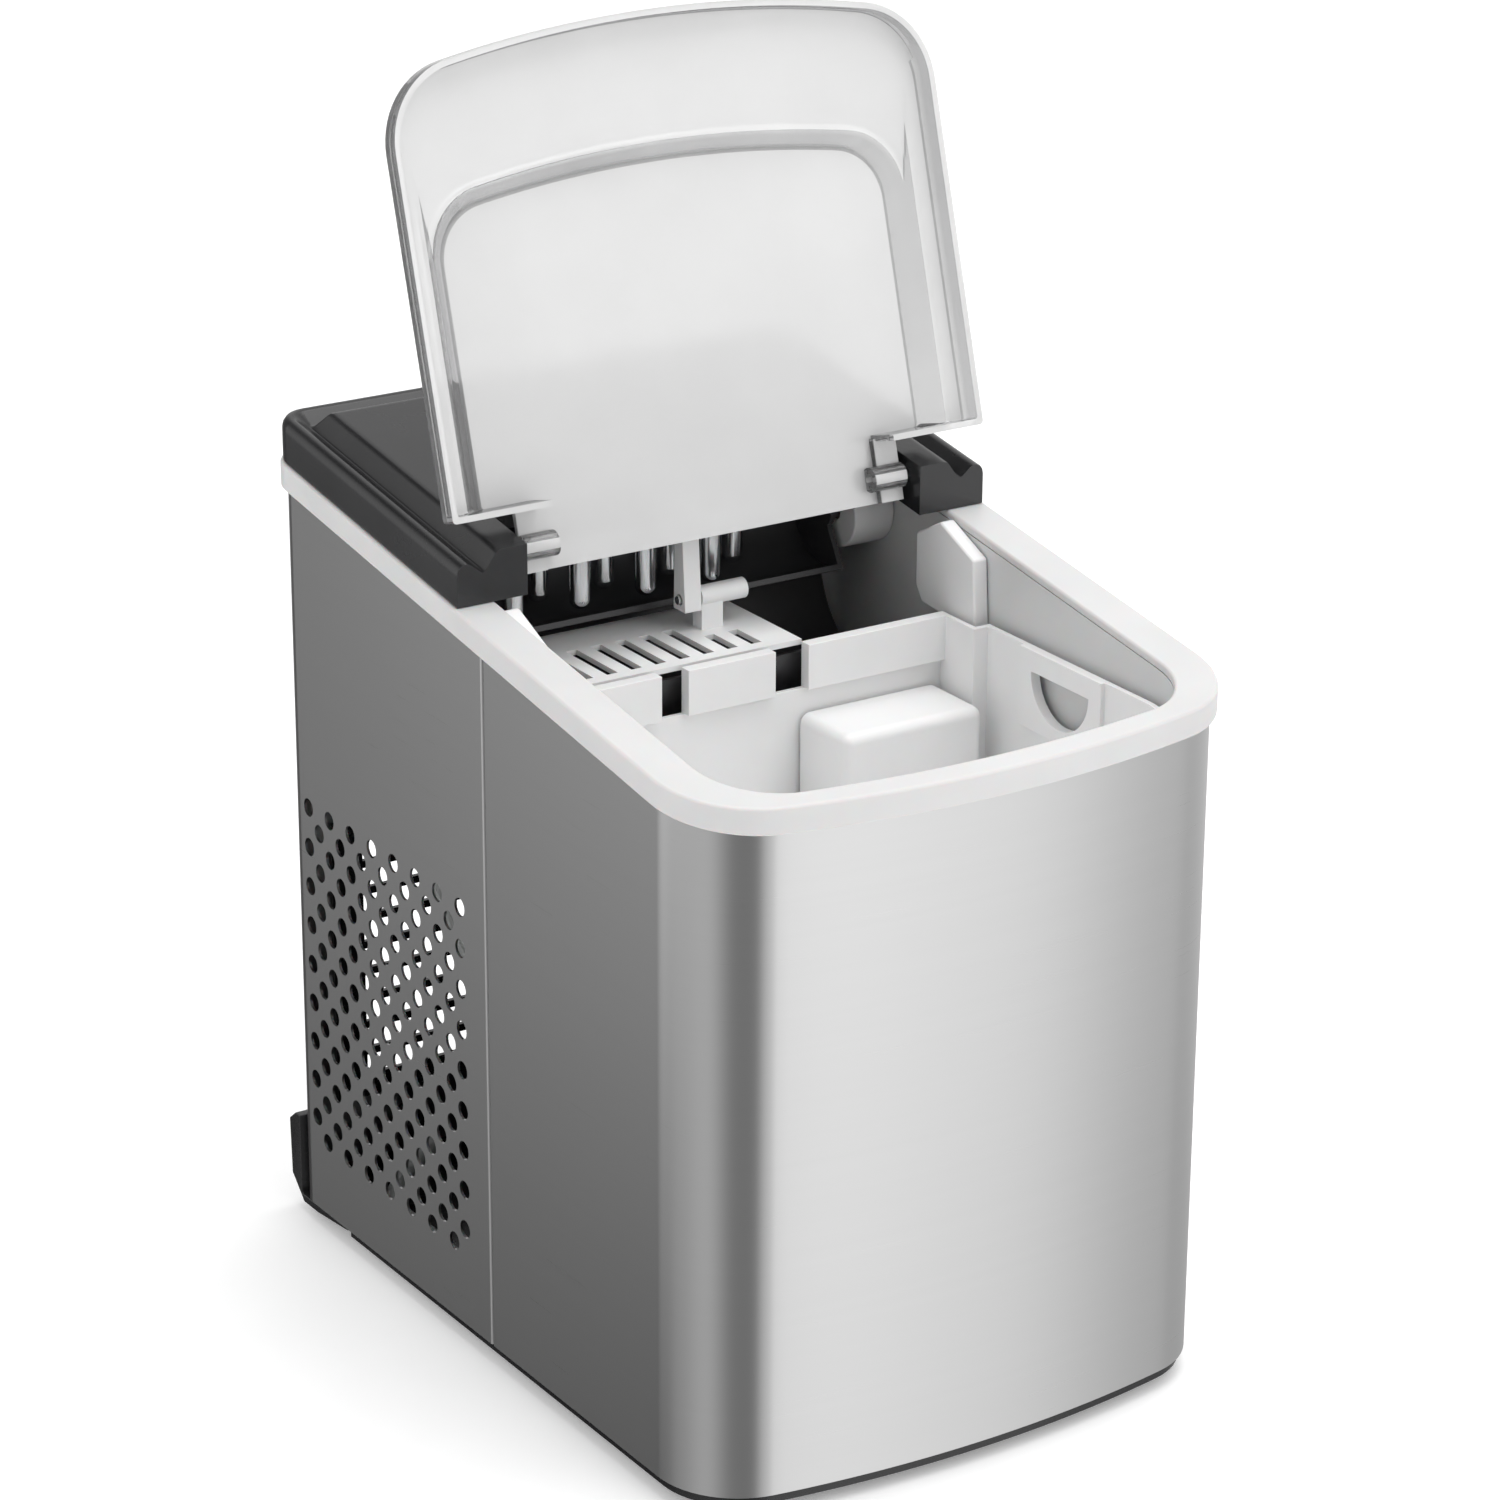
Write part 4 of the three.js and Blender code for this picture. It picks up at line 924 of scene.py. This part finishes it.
def lid_skin(wall, drop):
    """The lid's surface moved inwards by the wall, with its open underside lowered by drop."""
    steps = [
        (0, 0, 7, 30), (0.8, 0.8, 8.4, 29.5), (2.4, 2.6, 9.1, 28.6), (6, 7, 9.6, 27), (8.2, 18, 10.2, 27),
        (9.9, 32, 11.1, 26.5), (11, 43, 12, 26), (12.6, 44.6, 13, 25), (15.9, 48.4, 16.2, 22.8), (17.5, 50, 17.1, 22),
    ]
    rings = [(lid_plan(lid_half, lid_length, 30), wall, rim - drop)]
    for side, back, high, turn in steps:
        rings.append((lid_plan(lid_half - side, lid_length - back, turn), wall, rim + high - wall))
    return skinned(rings, sloped=False)


own_axis = (0, 0)
lid = cut(
    lid_skin(0, 0), lid_skin(lid_wall, 2.5), block(-71, 71, -18.4, 60, rim - 1, window_top - lid_wall),
)
lid = join(
    lid, block(-72, 72, -17.4, 9, window_top - lid_wall, window_top),
    *both_sides(70, 72, -14.4, 9, window_top - 5, window_top - 0.5),
    *both_sides(71, 79.5, -14.4, 9, window_top - 5, window_top - 3),
    *[axle(own_axis, 4.6, *span) for span in ((-79.5, -66), (66, 79.5))],
)
lid = cut(lid, axle(own_axis, 2.3, -150, 150))
lean = math.atan(slope) - open_angle
lid.data.transform(Matrix.Translation((0, *hinge_axis)) @ Matrix.Rotation(lean, 4, "X"))
dress(lid, "lid", rounding=0.3)
lid.data.materials.append(finishes["milky_window"])
milky_slot, nearly_level, fairly_level, wide_face = 1, 0.93, 0.9, 0.0004
closed_lid = Matrix.Rotation(-lean, 3, "X")
# Faces left in the clear finish carry its painted shade.
for face in lid.data.polygons:
    levelness = abs((closed_lid @ face.normal).z)
    if levelness > nearly_level or face.area > wide_face and levelness > fairly_level:
        face.material_index = milky_slot
print(sum(f.material_index for f in lid.data.polygons), "of", len(lid.data.polygons), "lid faces are milky")
for side, (x0, x1) in {"left": (-92, -68), "right": (68, 92)}.items():
    dress(axle(hinge_axis, 2, x0, x1), "hinge_pin_" + side, rounding=0.3)

# %% [markdown]
# The base closes the bottom. Bumpers at the rear corners keep the hot back away from a wall. They are one profile
# each, carried across the corner, with all edges softened. Four rubber feet have a rounded tread.

# %% Base, bumpers and feet
base = join(
    slab(body_plan, 4, 9.7, 2, level),
    cut(slab(body_plan, 7.7, 16, 1.3, level), slab(body_plan, 0, 40, 3.8, level)),
)
base = cut(base, *both_sides(81.7, 109.05, 112.7, 300, 0, 7.7), bar(3.6, (-40, -20, 0), (-40, -20, 20)))
dress(base, "base_pan", rounding=0.4)
bumper = [(137, 4.2), (148, 4.2), (157, 13.2), (158, 36), (153, 40), (149.3, 40), (149.3, 7.4), (113, 7.4)]
for side, span, foot_x in (("left", (-108, -82), -84.75), ("right", (82, 108), 84.75)):
    dress(along_x((113, 6.5), bumper, *span), "rear_bumper_" + side, rounding=0.45)
    for end, y in (("front", -104), ("rear", 100)):
        dress(bar(9, (foot_x, y, 0), (foot_x, y, 3.7), 40), f"foot_{end}_{side}", rounding=0.8, segments=4)

# %% [markdown]
# The grille behind the back window is a thin plate with two rows of louvres. The inlet, drain and screws finish
# the back. A screw has a domed head with one slot.

# %% Back of the machine
grille = cut(
    block(-93, 93, 145.7, 147.7, 43, 157),
    *[block(x - 38, x + 38, 100, 200, z, z + 8) for z in range(52, 144, 11) for x in (-42, 42)],
)
dress(grille, "back_grille", rounding=0.5)
inlet = cut(block(47.3, 76.7, 133, 152, 19.3, 40.7), block(50, 74, 137, 200, 22, 38))
blades = ((inlet_x - 6, inlet_z - 2), (inlet_x, inlet_z + 3), (inlet_x + 6, inlet_z - 2))
inlet = join(inlet, *[block(x - 1, x + 1, 136, 148, z - 2.5, z + 2.5) for x, z in blades])
dress(inlet, "power_inlet", rounding=0.4)
spout = cut(drain_bar(7, 135, 150), drain_bar(4.4, 134, 151))
dress(spout, "drain_spout", rounding=0.4)
cap = join(drain_bar(8.5, 150.3, 155, 40), drain_bar(4.1, 143, 151))
dress(cap, "drain_cap", rounding=0.9, segments=4)
for number, (x, z) in enumerate(((-96, 44.4), (-96, 190), (96, 44.4), (96, 190)), 1):
    head = cut(bar(3.6, (x, 149.3, z), (x, 151.4, z)), block(x - 2.5, x + 2.5, 150.5, 200, z - 0.5, z + 0.5))
    dress(head, f"back_screw_{number}", rounding=0.35, segments=4)

# %% [markdown]
# The works inside are seen through the vents and the grille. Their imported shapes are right, so a copy of each is
# welded, its edges rounded and its curves smoothed. Tubes and hoses get a subdivision level, which turns their few
# sides into a round section.

# %% Works inside
rounded_works = {
    "compressor": 1.2, "condenser": 0.15, "fan_shroud": 0.5, "fan_motor": 0.8, "fan_rotor": 0.3, "water_pump": 0.8,
    "control_board": 0.2, "float_stem": 0.4, "float_ring": 0.8, "shovel_pin": 0.2,
}
rounded_works.update({f"compressor_mount_{i}": 0.6 for i in range(1, 5)})
tubes = ["suction_line", "hot_gas_line", "pump_hose", "fill_hose", "drain_hose"]


def copy_of(node):
    mesh = frame["nodes"][node].data.copy()
    mesh.transform(to_frame.inverted())
    piece = bpy.data.objects.new(node, mesh)
    bpy.context.scene.collection.objects.link(piece)
    bm = bmesh.new()
    bm.from_mesh(mesh)
    bmesh.ops.remove_doubles(bm, verts=bm.verts[:], dist=0.001)
    bm.to_mesh(mesh)
    bm.free()
    return piece


for node, width in rounded_works.items():
    dress(copy_of(node), node, rounding=width)
for node in tubes:
    piece = dress(copy_of(node), node, rounding=0, crease=60)
    smooth = piece.modifiers.new("round_section", "SUBSURF")
    smooth.levels = smooth.render_levels = 1
left_over = [n for n, o in frame["nodes"].items() if not o.hide_render]
print("nodes still shown as packed:", left_over)
